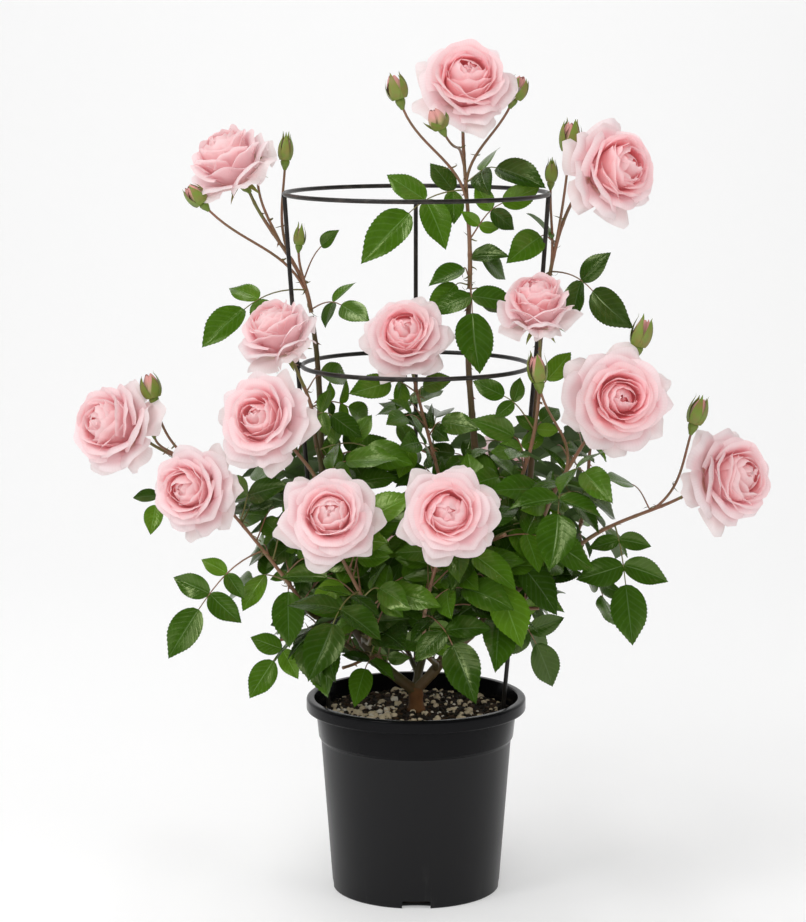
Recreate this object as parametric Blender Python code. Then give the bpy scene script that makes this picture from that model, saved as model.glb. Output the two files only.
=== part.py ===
"""A rose bush in a nursery pot, grown up through a wire ring support.

Metres, +Z up. The origin is the middle of the pot's flat underside, -Y is the front.
The pot, its potting mix and the wire support are made things. The bush is a trunk, canes that
fork from it, and shoots: each shoot is one solid of stems, leaves, buds and a bloom that goes on
from the tip of one cane.
"""

import math
import random

import bmesh
import bpy
from mathutils import Matrix, Quaternion, Vector
from mathutils.bvhtree import BVHTree
from mathutils.geometry import interpolate_bezier

MM = 0.001
GAP = 0.3 * MM  # between solids that touch on the real thing
CUT_GAP = 1.2 * GAP  # the same, where one is cut clear of the corners of a many-sided other
UP = Vector((0, 0, 1))
FRONT = Vector((0, -1, 0))

# Pot
POT_HEIGHT = 196 * MM
POT_BASE_RADIUS = 84 * MM
POT_STEP_RADIUS = 95.6 * MM  # wall at the top of its plain part
POT_STEP_HEIGHT = 153.5 * MM
POT_STEP_RISE = 3 * MM
POT_BAND_RADIUS = 97.8 * MM  # wall just over the step
POT_NECK_RADIUS = 100.4 * MM  # wall under the rim
POT_RIM_RADIUS = 110 * MM
POT_RIM_DEPTH = 13 * MM
RIM_PROFILE = (  # mm outwards from the rim's radius, mm down from its top
    (-2.5, 13),
    (0, 10),
    (0, 3.5),
    (-2.2, 0),
    (-5.6, 0),
    (-8, 3),
)
POT_WALL = 2.4 * MM
POT_FLOOR = 3 * MM
POT_STEPS = 36
NOTCH_SIZE = (28 * MM, 30 * MM, 16 * MM)  # box cutter: width, depth, height on both sides of z = 0
MIX_TOP = 180 * MM
MIX_SINK = 2 * MM  # the mix lies lower along the pot's wall
MIX_FLAT_RADIUS = 80 * MM
SOCKET_SIDES = 8

# Wire support
WIRE_RADIUS = 2.2 * MM
UPPER_RING = (129 * MM, 699 * MM)  # radius, height
LOWER_RING = (112.5 * MM, 530 * MM)
LEG_FOOT = (79 * MM, 85 * MM)  # the foot of a leg, deep in the mix
LEG_AZIMUTHS = {"right": 0, "back": 90, "left": 180}
RING_STEPS = 32

# Bush
TRUNK_TOP = 205 * MM
TRUNK_RADII = (10.5, 7.6, 6.6, 6.9)  # mm, from its flare to its top
TRUNK_SIDES = 8
CANE_SIDES = 6
CANE_STEP = 70 * MM  # one more length of tube for each of these, over CANE_LEAST_STEPS
CANE_LEAST_STEPS = 6
CANE_RISE = 0.7  # how much a cane turns upwards by its tip
CANE_SWELL = 6  # mm of radius gained for each metre down to the fork, over CANE_LEAST_SWELL
CANE_LEAST_SWELL = 1.0
FORK_SHARE = 0.85  # the thickest a cane may be, of what it forks from
STEM_SIDES = 4
STEM_STEPS = 8
LEAFY_STEM_STEPS = 5
STEM_RISE = 0.5  # how much a stem or a rachis turns upwards
STEM_TIP_RADIUS = 1.5 * MM
STEM_FOOT = 3 * MM  # straight, so that a shoot meets its cane squarely
BUD_STEM_RADIUS = 1.2 * MM
BUD_STEM_STEPS = 4
BUD_LEAN = 0.4  # how much a bud's stem leans its own way where it leaves
BUD_PROFILE = ((0.24, 0.22), (0.192, 0.6), (0, 1))  # radius and height, of its length
BUD_FOOT = -0.12
BUD_STEPS = 5
RACHIS_RADIUS = 1.1 * MM
RACHIS_STEPS = 8
LEAFLET_WIDTH = 0.64  # of its length
LEAFLET_THICKNESS = 1.8 * MM
LEAFLET_DROOP = 0.12
LEAFLET_CUP = 0.08
LEAF_OUTLINE = ((0.0, 0.16), (0.44, 1.0))  # along and across, then the tip
PAIR_PLACES = ((0.30, 0.74), (0.76, 0.54))  # behind the end leaflet, and size, over its length
PAIR_FOOT = 1.6 * MM  # half the length of rachis that bears a pair
PAIR_REACH = 0.8  # the furthest back a pair may sit, of the rachis
PAIR_SWEEP = (0.15, 0.4)  # how far a side leaflet leans ahead
PAIR_TILT = (-0.25, 0.1)  # and turns its face out
PAIR_SIZES = (0.92, 1.08)
LEAF_NOD = 0.25  # how far the end leaflet bends down from the line to its tip
BLOOM_PROFILE = (  # radius, height over the foot of the hip, wave, as shares of the diameter
    (0.030, -0.06, 0),
    (0.065, 0.02, 0),
    (0.200, 0.11, 0),
    (0.470, 0.23, 0.09),
    (0.330, 0.30, 0.05),
    (0.365, 0.42, -0.09),
    (0.230, 0.37, -0.05),
    (0.235, 0.50, 0.09),
    (0.100, 0.44, 0),
    (0.000, 0.46, 0),
)
BLOOM_STEPS = 10  # five petals to a ring
HIP_SHARE = 0.36  # from the foot of the hip to the bloom's middle, of its diameter
NECK_SHARE = 0.38  # from the stem's end to the bloom's middle
OPEN_DEPTH = 1.6  # the open space before a bloom, of its diameter
OPEN_RADIUS = 0.52
LEAST_FREE = 0.6  # a leaf with fewer of its leaflets clear is left out
TURN = math.radians(137.5)  # from one leaf of a stem to the next
RULE_STRETCH = (0.08, 0.74)  # of the stem, where leaves grow by rule
RULE_SIZES = (50 * MM, 64 * MM)  # the end leaflet
RULE_REACH = (1.55, 1.9)  # from the stem to the leaf's tip, over the end leaflet
RULE_LIFT = (-0.15, 0.35)
RULE_AHEAD = 0.25
RULE_OUTWARD = 0.9  # how far a leaf faces out from the bush's middle, against up
RULE_SIDEWAYS = 0.4  # and how much of that is to the left or right
TRIES = 30
TRY_TURN = 0.9
LEAFY_CENTRE = Vector((5, 5, 338)) * MM  # leaves that grow by rule keep to this ellipsoid
LEAFY_RADII = Vector((215, 240, 155)) * MM
REACH = 135 * MM  # and to this distance from the stem that bears them
PLACED_FACE = FRONT + 0.45 * UP  # which way a leaf with a place faces, before its own roll

# Canes: name, what it forks from, where along it, how it leaves, tip (mm), tip radius (mm)
CANES = (
    ("upper_left", "trunk", 0.80, (-0.85, 0.05, 0.55), (-104, 36, 575), 2.3),
    ("top", "trunk", 0.86, (0.70, -0.10, 0.70), (52, -10, 603), 2.3),
    ("back_high", "trunk", 0.84, (0.05, 0.80, 0.60), (56, 100, 336), 2.3),
    ("upper_right", "top", 0.10, (0.85, 0.30, 0.55), (128, 20, 589), 2.1),
    ("mid_left", "upper_left", 0.50, (0.3, -0.8, 0.6), (-100, -60, 484), 1.9),
    ("left", "upper_left", 0.42, (-0.1, -0.8, 0.6), (-91, -80, 409), 2.0),
    ("far_left", "upper_left", 0.30, (-0.8, 0.5, 0.5), (-153, 16, 377), 2.1),
    ("low_left", "upper_left", 0.22, (-0.8, -0.6, 0.5), (-113, -70, 308), 2.0),
    ("skirt_left", "upper_left", 0.13, (-0.8, -0.2, 0.2), (-80, -30, 268), 1.7),
    ("low_front", "upper_left", 0.08, (-0.2, -0.9, 0.5), (-34, -30, 238), 1.6),
    ("front_left", "upper_left", 0.18, (0.0, -0.9, 0.5), (-43, -110, 285), 2.0),
    ("front_right", "top", 0.07, (0.0, -0.9, 0.5), (8, -100, 275), 2.0),
    ("middle", "top", 0.22, (0.1, -0.9, 0.5), (52, -90, 352), 1.8),
    ("centre", "top", 0.36, (-0.5, -0.5, 0.7), (23, -40, 422), 1.7),
    ("mid_right", "top", 0.44, (0.7, -0.6, 0.6), (101, -60, 425), 1.9),
    ("right", "upper_right", 0.24, (0.1, -0.9, 0.5), (121, -80, 387), 2.2),
    ("far_right", "upper_right", 0.22, (0.8, -0.3, 0.5), (147, -20, 338), 2.1),
    ("low_right", "upper_right", 0.12, (0.5, -0.8, 0.3), (74, -70, 296), 1.7),
    ("back_right", "back_high", 0.40, (0.9, 0.1, 0.4), (148, 80, 319), 2.0),
    ("back_left", "back_high", 0.28, (-0.9, 0.3, 0.4), (-88, 80, 319), 2.0),
    ("back_low", "back_high", 0.10, (-0.2, 0.9, 0.4), (-11, 78, 240), 1.8),
)

# Shoots with a bloom: cane, middle of the bloom (mm), its diameter (mm), which way it faces,
# and how many leaves grow by rule
BLOOMS = (
    ("top", (48, -20, 807), 100, (0.05, -0.82, 0.56), 0),
    ("upper_left", (-185, 20, 731), 100, (-0.50, -0.30, 0.80), 0),
    ("upper_right", (192, -20, 723), 100, (0.60, -0.75, 0.25), 0),
    ("mid_left", (-136, -75, 573), 90, (-0.45, -0.35, 0.82), 3),
    ("centre", (-11, -60, 567), 94, (-0.10, -0.85, 0.50), 3),
    ("mid_right", (115, -75, 597), 84, (-0.10, -0.45, 0.88), 3),
    ("right", (193, -110, 512), 112, (0.12, -0.98, 0.12), 5),
    ("far_left", (-302, 0, 470), 106, (-0.62, -0.70, 0.32), 2),
    ("left", (-146, -150, 498), 104, (-0.35, -0.85, 0.35), 5),
    ("low_left", (-217, -100, 422), 98, (-0.45, -0.85, 0.15), 4),
    ("front_left", (-81, -200, 415), 102, (0.00, -0.92, 0.38), 5),
    ("front_right", (28, -220, 420), 100, (0.00, -0.96, 0.25), 5),
    ("far_right", (313, -10, 419), 108, (0.64, -0.72, 0.25), 2),
    ("back_right", (205, 170, 472), 94, (0.45, 0.85, 0.35), 5),
    ("back_left", (-156, 170, 453), 96, (-0.40, 0.88, 0.30), 5),
    ("back_low", (-22, 225, 300), 92, (-0.05, 0.95, 0.30), 5),
    ("back_high", (90, 200, 395), 96, (0.20, 0.90, 0.40), 5),
)

# Leafy shoots with no bloom: cane, tip (mm), how many leaves grow by rule
LEAFY = (
    ("middle", (84, -135, 385), 7),
    ("low_right", (118, -95, 305), 6),
    ("skirt_left", (-136, -45, 262), 6),
    ("low_front", (-72, -68, 240), 3),
)

# Buds: cane, where on the shoot's stem its own stem forks off, its foot (mm), length (mm), lean
BUDS = (
    ("top", 0.42, (-16, -20, 790), 28, (-0.30, 0, 1)),
    ("top", 0.62, (24, -62, 764), 24, (-0.50, -0.2, 1)),
    ("top", 0.52, (94, 0, 790), 27, (0.40, 0, 1)),
    ("upper_left", 0.10, (-209, 8, 688), 26, (-0.60, 0, 0.7)),
    ("upper_left", 0.42, (-130, 48, 728), 26, (0.05, 0, 1)),
    ("upper_left", 0.55, (-157, 34, 716), 24, (0.0, 0.2, 1)),
    ("upper_left", 0.06, (-116, 26, 646), 21, (0.1, 0, 1)),
    ("upper_right", 0.34, (149, 0, 738), 34, (0.1, 0, 1)),
    ("upper_right", 0.20, (133, 32, 708), 22, (0.05, 0, 1)),
    ("right", 0.34, (116, -106, 526), 30, (-0.15, 0, 1)),
    ("right", 0.70, (212, -74, 556), 32, (0.25, 0, 1)),
    ("far_left", 0.55, (-260, 6, 496), 28, (-0.25, 0, 1)),
    ("far_left", 0.66, (-262, 24, 458), 16, (-0.15, 0.1, 1)),
    ("far_right", 0.62, (272, -24, 474), 30, (0.30, 0, 1)),
)

# Leaves with a place: cane, where on the shoot's stem, tip (mm), end leaflet (mm), leaflets, roll
LEAVES = (
    ("top", 0.05, (56, -64, 532), 60, 3, 0),
    ("top", 0.24, (122, 12, 705), 42, 5, 30),
    ("top", 0.50, (-54, -30, 636), 68, 5, 0),
    ("top", 0.54, (125, -30, 713), 57, 3, -20),
    ("top", 0.02, (10, -30, 584), 42, 1, 0),
    ("top", 0.06, (13, -30, 614), 40, 1, 20),
    ("top", 0.15, (92, 20, 614), 42, 1, -20),
    ("top", 0.10, (86, -30, 643), 38, 1, -20),
    ("top", 0.00, (85, 0, 579), 36, 1, 0),
    ("upper_left", 0.16, (-211, -10, 552), 56, 3, 20),
    ("upper_left", 0.02, (-49, -30, 579), 40, 3, 0),
    ("mid_left", 0.42, (-64, -20, 524), 42, 1, 0),
    ("upper_left", 0.22, (-78, 10, 662), 26, 1, 0),
    ("upper_right", 0.20, (203, -50, 571), 56, 3, 35),
    ("upper_right", 0.40, (90, -30, 639), 52, 3, 0),
    ("mid_left", 0.15, (-44, 5, 473), 40, 5, 0),
    ("mid_left", 0.04, (-54, -80, 470), 36, 3, 0),
    ("far_left", 0.70, (-263, -30, 367), 32, 3, 0),
    ("low_left", 0.42, (-242, -100, 258), 56, 5, 0),
    ("low_left", 0.14, (-125, -104, 269), 54, 1, 0),
    ("skirt_left", 0.50, (-165, -60, 208), 44, 5, 0),
    ("front_left", 0.40, (-97, -240, 270), 64, 5, 0),
    ("front_right", 0.20, (54, -220, 248), 62, 5, 0),
    ("centre", 0.62, (-62, -60, 510), 44, 3, 0),
    ("centre", 0.58, (33, -40, 522), 32, 1, 0),
    ("centre", 0.36, (-27, -100, 487), 34, 3, 0),
    ("centre", 0.30, (58, -70, 479), 42, 3, 0),
    ("centre", 0.10, (-14, -105, 469), 38, 3, 0),
    ("mid_right", 0.12, (55, -70, 489), 44, 3, 0),
    ("mid_right", 0.34, (54, -60, 522), 34, 3, 0),
    ("mid_right", 0.24, (140, -30, 493), 34, 3, 0),
    ("mid_right", 0.52, (152, -50, 548), 38, 1, 0),
    ("mid_right", 0.05, (92, -145, 462), 40, 3, 0),
    ("right", 0.10, (74, -120, 427), 50, 3, 0),
    ("right", 0.30, (128, -190, 363), 64, 5, 0),
    ("right", 0.34, (182, -150, 422), 50, 3, 0),
    ("far_right", 0.36, (213, -50, 259), 60, 5, 0),
    ("far_right", 0.60, (186, -30, 425), 40, 1, 60),
    ("far_right", 0.08, (202, 20, 254), 48, 5, 80),
    ("low_right", 0.40, (138, -70, 221), 50, 5, 0),
    ("low_front", 0.25, (-62, -94, 210), 42, 3, 0),
)

COLOURS = {  # base colour, roughness, metallic
    "pot": ((0.022, 0.022, 0.024), 0.45, 0.0),
    "mix": ((0.045, 0.030, 0.020), 0.95, 0.0),
    "wire": ((0.015, 0.015, 0.016), 0.35, 0.0),
    "cane": ((0.170, 0.150, 0.060), 0.60, 0.0),
    "shoot": ((0.110, 0.250, 0.050), 0.50, 0.0),
}


# ---------------------------------------------------------------- shapes as points and faces


def turned(profile, steps, axis=UP, at=Vector()):
    """A closed turned solid. The profile is radius and height from one end to the other, with an
    optional wave, the share by which every other corner of that ring stands out and the rest in.
    An end off the axis is closed by a flat cap."""
    turn = UP.rotation_difference(axis)
    points = []
    faces = []
    rings = []
    for radius, height, *wave in profile:
        if radius < 1e-9:
            rings.append([len(points)] * steps)
            points.append(at + turn @ Vector((0, 0, height)))
            continue
        rings.append(list(range(len(points), len(points) + steps)))
        for k in range(steps):
            angle = 2 * math.pi * k / steps
            reach = radius * (1 + (wave[0] if wave else 0) * (-1) ** k)
            spot = Vector((reach * math.cos(angle), reach * math.sin(angle), height))
            points.append(at + turn @ spot)
    for low, high in zip(rings, rings[1:]):
        for k in range(steps):
            j = (k + 1) % steps
            face = (low[k], low[j], high[j], high[k])
            faces.append(tuple(dict.fromkeys(face)))
    for ring in (rings[0], rings[-1]):
        if len(set(ring)) > 1:
            faces.append(tuple(ring))
    return points, faces


def tube(path, radii, sides):
    """A closed tube along the path, with a radius for each of its points and flat caps."""
    points = []
    faces = []
    ahead = (path[1] - path[0]).normalized()
    side = ahead.orthogonal().normalized()
    last = len(path) - 1
    for i, spot in enumerate(path):
        now = (path[min(i + 1, last)] - path[max(i - 1, 0)]).normalized()
        side = ahead.rotation_difference(now) @ side
        ahead = now
        for k in range(sides):
            arm = Quaternion(ahead, 2 * math.pi * k / sides) @ side
            points.append(spot + arm * radii[i])
    for i in range(last):
        for k in range(sides):
            j = (k + 1) % sides
            low, high = i * sides, (i + 1) * sides
            faces.append((low + k, low + j, high + j, high + k))
    faces.append(tuple(range(sides)))
    faces.append(tuple(range(last * sides, (last + 1) * sides)))
    return points, faces


def blade(root, along, face, length, width):
    """A leaflet: its outline round a raised middle, thick there and thin at its edge."""
    along = along.normalized()
    face = (face - along * face.dot(along)).normalized()
    across = along.cross(face)

    def spot(u, w):
        lift = LEAFLET_CUP * abs(w) * width / 2 - LEAFLET_DROOP * u * u * length
        return root + along * (u * length) + across * (w * width / 2) + face * lift

    edge = [spot(u, w) for u, w in LEAF_OUTLINE] + [spot(1, 0)]
    edge += [spot(u, -w) for u, w in reversed(LEAF_OUTLINE)]
    middle = spot(0.45, 0)
    points = edge + [middle + face * (side * LEAFLET_THICKNESS / 2) for side in (1, -1)]
    count = len(edge)
    faces = []
    for k in range(count):
        j = (k + 1) % count
        faces.append((k, j, count))
        faces.append((j, k, count + 1))
    return points, faces


def sweep(start, leave, end, arrive, steps, pull=0.38):
    """Points of one smooth curve that leaves and arrives in the directions given."""
    reach = (end - start).length * pull
    first = start + leave.normalized() * reach
    second = end - arrive.normalized() * reach
    return interpolate_bezier(start, first, second, end, steps + 1)


def along_path(path, share):
    """The point a share of the way along a path, and the path's direction there."""
    place = share * (len(path) - 1)
    i = min(int(place), len(path) - 2)
    return path[i].lerp(path[i + 1], place - i), (path[i + 1] - path[i]).normalized()


# ---------------------------------------------------------------- solids


def mesh_of(name, points, faces):
    """A mesh of one closed shape, its faces pointing out."""
    mesh = bpy.data.meshes.new(name)
    bm = bmesh.new()
    corners = [bm.verts.new(spot) for spot in points]
    for face in faces:
        bm.faces.new([corners[k] for k in face])
    bmesh.ops.recalc_face_normals(bm, faces=bm.faces)
    bm.to_mesh(mesh)
    bm.free()
    return mesh


def new_object(name, data, colour=None):
    obj = bpy.data.objects.new(name, data)
    bpy.context.scene.collection.objects.link(obj)
    if colour:
        base, roughness, metallic = COLOURS[colour]
        material = bpy.data.materials.new(name)
        material.use_nodes = True
        shader = material.node_tree.nodes["Principled BSDF"]
        shader.inputs["Base Color"].default_value = (*base, 1)
        shader.inputs["Roughness"].default_value = roughness
        shader.inputs["Metallic"].default_value = metallic
        data.materials.append(material)
    return obj


def applied(obj, cut=None, join=None):
    """The object with one Boolean done: cut away an object, or joined to a collection."""
    step = obj.modifiers.new("Boolean", "BOOLEAN")
    if cut:
        step.operation = "DIFFERENCE"
        step.object = cut
    else:
        step.operation = "UNION"
        step.operand_type = "COLLECTION"
        step.collection = join
    graph = bpy.context.evaluated_depsgraph_get()
    mesh = bpy.data.meshes.new_from_object(obj.evaluated_get(graph))
    obj.modifiers.clear()
    mesh.name = obj.name
    obj.data = mesh
    return obj


def wire(name, path, radius, colour=None, closed=False):
    """A round wire along the path, as a bevelled curve."""
    curve = bpy.data.curves.new(name, "CURVE")
    curve.dimensions = "3D"
    curve.bevel_depth = radius
    curve.bevel_resolution = 1
    curve.use_fill_caps = not closed
    spline = curve.splines.new("POLY")
    spline.points.add(len(path) - 1)
    for point, spot in zip(spline.points, path):
        point.co = (*spot, 1)
    spline.use_cyclic_u = closed
    return new_object(name, curve, colour)


# ---------------------------------------------------------------- what is already in the way


class Taken:
    """The shapes placed so far, for testing whether a new one touches any of them."""

    def __init__(self):
        self.shapes = []

    @staticmethod
    def corners(points):
        low = Vector([min(spot[k] for spot in points) for k in range(3)])
        high = Vector([max(spot[k] for spot in points) for k in range(3)])
        return low, high

    def add(self, points, faces, owner):
        low, high = self.corners(points)
        self.shapes.append((owner, low, high, BVHTree.FromPolygons(points, faces)))

    def touches(self, points, faces, but=()):
        """Whether the shape, grown by a gap all round, meets a shape of another owner."""
        middle = sum(points, Vector()) / len(points)
        grown = [spot + (spot - middle).normalized() * (3 * GAP) for spot in points]
        low, high = self.corners(grown)
        tree = None
        for owner, other_low, other_high, other in self.shapes:
            if owner in but:
                continue
            if any(low[k] > other_high[k] or other_low[k] > high[k] for k in range(3)):
                continue
            tree = tree or BVHTree.FromPolygons(grown, faces)
            if tree.overlap(other):
                return True
        return False


# ---------------------------------------------------------------- pot, mix and wire support


def pot_wall():
    """Radius and height up the outside of the wall, from the base to under the rim."""
    return [
        (POT_BASE_RADIUS, 0),
        (POT_STEP_RADIUS, POT_STEP_HEIGHT),
        (POT_BAND_RADIUS, POT_STEP_HEIGHT + POT_STEP_RISE),
        (POT_NECK_RADIUS, POT_HEIGHT - POT_RIM_DEPTH),
    ]


def pot_inside():
    """Radius and height up the inside of the wall, from the floor to the rim."""
    inside = [(radius - POT_WALL, height) for radius, height in pot_wall()]
    inside[0] = (inside[0][0], POT_FLOOR)
    return inside


def make_pot():
    rim = [(POT_RIM_RADIUS + out * MM, POT_HEIGHT - down * MM) for out, down in RIM_PROFILE]
    profile = [(0, 0)] + pot_wall() + rim + pot_inside()[::-1] + [(0, POT_FLOOR)]
    pot = new_object("pot", mesh_of("pot", *turned(profile, POT_STEPS)), "pot")
    for quarter in range(4):
        notch = bpy.data.meshes.new("notch")
        bm = bmesh.new()
        turn = Matrix.Rotation(quarter * math.pi / 2, 4, "Z")
        place = Matrix.Translation((0, -POT_BASE_RADIUS, 0))
        bmesh.ops.create_cube(bm, matrix=turn @ place @ Matrix.Diagonal((*NOTCH_SIZE, 1)))
        bm.to_mesh(notch)
        bm.free()
        cutter = new_object("notch", notch)
        applied(pot, cut=cutter)
        bpy.data.objects.remove(cutter)
    return pot


def make_mix(legs):
    wall = [(radius - GAP, height) for radius, height in pot_inside()]
    bottom = POT_FLOOR + GAP
    wall[0] = (wall[0][0], bottom)
    profile = [(0, bottom)] + wall[:3]
    profile.append((wall[3][0] - 2 * GAP, MIX_TOP - MIX_SINK))
    profile += [(MIX_FLAT_RADIUS, MIX_TOP), (0, MIX_TOP)]
    mix = new_object("potting_mix", mesh_of("mix", *turned(profile, POT_STEPS)), "mix")
    for path in legs.values():
        foot = path[0] + (path[0] - path[1]).normalized() * GAP
        hole = tube([foot, path[1]], [WIRE_RADIUS + 2 * GAP] * 2, SOCKET_SIDES)
        socket = new_object("socket", mesh_of("socket", *hole))
        applied(mix, cut=socket)
        bpy.data.objects.remove(socket)
    return mix


def leg_paths():
    """Each leg from its foot in the mix, past the lower ring, to the upper ring."""
    beside = LOWER_RING[0] + 2 * WIRE_RADIUS + GAP
    under = UPPER_RING[1] - WIRE_RADIUS - 2 * GAP
    paths = {}
    for name, azimuth in LEG_AZIMUTHS.items():
        out = Vector((math.cos(math.radians(azimuth)), math.sin(math.radians(azimuth)), 0))
        stops = (LEG_FOOT, (beside, LOWER_RING[1]), (UPPER_RING[0], under))
        paths[name] = [out * radius + UP * height for radius, height in stops]
    return paths


def ring_path(radius, height):
    turn = 2 * math.pi / RING_STEPS
    # A flat of the many-sided ring faces each leg.
    angles = [(k + 0.5) * turn for k in range(RING_STEPS)]
    return [Vector((radius * math.cos(a), radius * math.sin(a), height)) for a in angles]


# ---------------------------------------------------------------- canes


def grow_canes():
    """Path and radii of the trunk and each cane. A cane starts inside what it forks from."""
    foot = MIX_TOP + GAP
    steps = len(TRUNK_RADII) - 1
    path = [UP * (foot + (TRUNK_TOP - foot) * k / steps) for k in range(steps + 1)]
    limbs = {"trunk": (path, [radius * MM for radius in TRUNK_RADII])}
    for name, parent, share, leave, tip, tip_radius in CANES:
        path, radii = limbs[parent]
        start, _ = along_path(path, share)
        thick = radii[0] + (radii[-1] - radii[0]) * share
        end = Vector(tip) * MM
        length = (end - start).length
        steps = CANE_LEAST_STEPS + round(length / CANE_STEP)
        arrive = (end - start).normalized() + CANE_RISE * UP
        curve = sweep(start, Vector(leave), end, arrive, steps)
        swell = CANE_LEAST_SWELL + CANE_SWELL * length
        root = min(thick * FORK_SHARE, (tip_radius + swell) * MM)
        taper = [root + (tip_radius * MM - root) * (k / steps) for k in range(steps + 1)]
        limbs[name] = (curve, taper)
    return limbs


def make_canes(limbs, taken):
    """The trunk and canes as solids. A cane is cut clear of what it forks from, and of the canes
    that fork from that before it."""
    shape = tube(*limbs["trunk"], TRUNK_SIDES)
    new_object("trunk", mesh_of("trunk", *shape), "cane")
    taken.add(*shape, "trunk")
    forked = {}
    for name, parent, *_ in CANES:
        shape = tube(*limbs[name], CANE_SIDES)
        cane = new_object("cane_" + name, mesh_of(name, *shape), "cane")
        for other in [parent] + forked.setdefault(parent, []):
            path, radii = limbs[other]
            sides = TRUNK_SIDES if other == "trunk" else CANE_SIDES
            beyond = [(path[0] - path[1]).normalized(), (path[-1] - path[-2]).normalized()]
            path = [path[0] + beyond[0] * GAP] + path[1:-1] + [path[-1] + beyond[1] * GAP]
            around = tube(path, [radius + CUT_GAP for radius in radii], sides)
            cutter = new_object("around", mesh_of("around", *around))
            applied(cane, cut=cutter)
            bpy.data.objects.remove(cutter)
        forked[parent].append(name)
        keep_largest(cane.data)
        taken.add(*shape, "cane_" + name)


def keep_largest(mesh):
    """Drops loose scraps and sealed hollows: only the body with the most faces stays."""
    bm = bmesh.new()
    bm.from_mesh(mesh)
    bodies = []
    left = set(bm.verts)
    while left:
        reached = [left.pop()]
        for vert in reached:
            for edge in vert.link_edges:
                other = edge.other_vert(vert)
                if other in left:
                    left.remove(other)
                    reached.append(other)
        bodies.append(reached)
    bodies.sort(key=len)
    for scrap in bodies[:-1]:
        bmesh.ops.delete(bm, geom=scrap, context="VERTS")
    bm.to_mesh(mesh)
    bm.free()


# ---------------------------------------------------------------- shoots: the growth rule


class Shoot:
    """One shoot: the shapes fused into it, and the paths of its stems."""

    def __init__(self, cane):
        self.cane = cane
        self.owner = "shoot_" + cane
        self.stem = []
        self.shapes = []
        self.leaves = 0


def grow_stem(shoot, limb, end, arrive, steps=STEM_STEPS):
    """The main stem, which goes on from its cane's tip a gap further on."""
    path, radii = limb
    heading = (path[-1] - path[-2]).normalized()
    start = path[-1] + heading * GAP
    shoot.stem = sweep(start + heading * STEM_FOOT, heading, end, arrive, steps)
    taper = [radii[-1] + (STEM_TIP_RADIUS - radii[-1]) * (k / steps) for k in range(steps + 1)]
    shoot.shapes.append(tube([start] + shoot.stem, [radii[-1]] + taper, STEM_SIDES))


def grow_bloom(shoot, centre, size, facing):
    """A full bloom on its hip: three rings of petals, each five points round, one in another."""
    foot = centre - facing * (HIP_SHARE * size)
    profile = [(radius * size, height * size, wave) for radius, height, wave in BLOOM_PROFILE]
    shoot.shapes.append(turned(profile, BLOOM_STEPS, facing, foot))


def grow_bud(shoot, share, foot, length, lean):
    start, heading = along_path(shoot.stem, share)
    path = sweep(start, heading + lean * BUD_LEAN, foot, lean, BUD_STEM_STEPS)
    shoot.shapes.append(tube(path, [BUD_STEM_RADIUS] * len(path), STEM_SIDES))
    profile = [(BUD_STEM_RADIUS, BUD_FOOT * length)]
    profile += [(radius * length, height * length) for radius, height in BUD_PROFILE]
    shoot.shapes.append(turned(profile, BUD_STEPS, lean.normalized(), foot))


def leaf_plan(start, tip, size, leaflets, face, dice):
    """A compound leaf: the path of its rachis, which way it faces at its end, and its leaflets.
    Each leaflet is the side it is on, its place along the rachis and its blade; side 0 is the
    leaflet at the end."""
    chord = tip - start
    ahead = (chord.normalized() - LEAF_NOD * UP).normalized()
    end = tip - ahead * size
    rachis = sweep(start, chord.normalized() + STEM_RISE * UP, end, ahead, RACHIS_STEPS)
    face = (face - ahead * face.dot(ahead)).normalized()
    plan = [(0, 1, blade(end, ahead, face, size, LEAFLET_WIDTH * size))]
    length = (end - start).length
    for back, share in PAIR_PLACES[:(leaflets - 1) // 2]:
        if back * size > PAIR_REACH * length:
            continue
        place = 1 - back * size / length
        spot, heading = along_path(rachis, place)
        own_face = ahead.rotation_difference(heading) @ face
        across = heading.cross(own_face)
        for side in (1, -1):
            out = across * side + heading * dice.uniform(*PAIR_SWEEP)
            tilt = own_face + across * side * dice.uniform(*PAIR_TILT)
            own = size * share * dice.uniform(*PAIR_SIZES)
            plan.append((side, place, blade(spot, out, tilt, own, own * LEAFLET_WIDTH)))
    return rachis, face, plan


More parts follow.
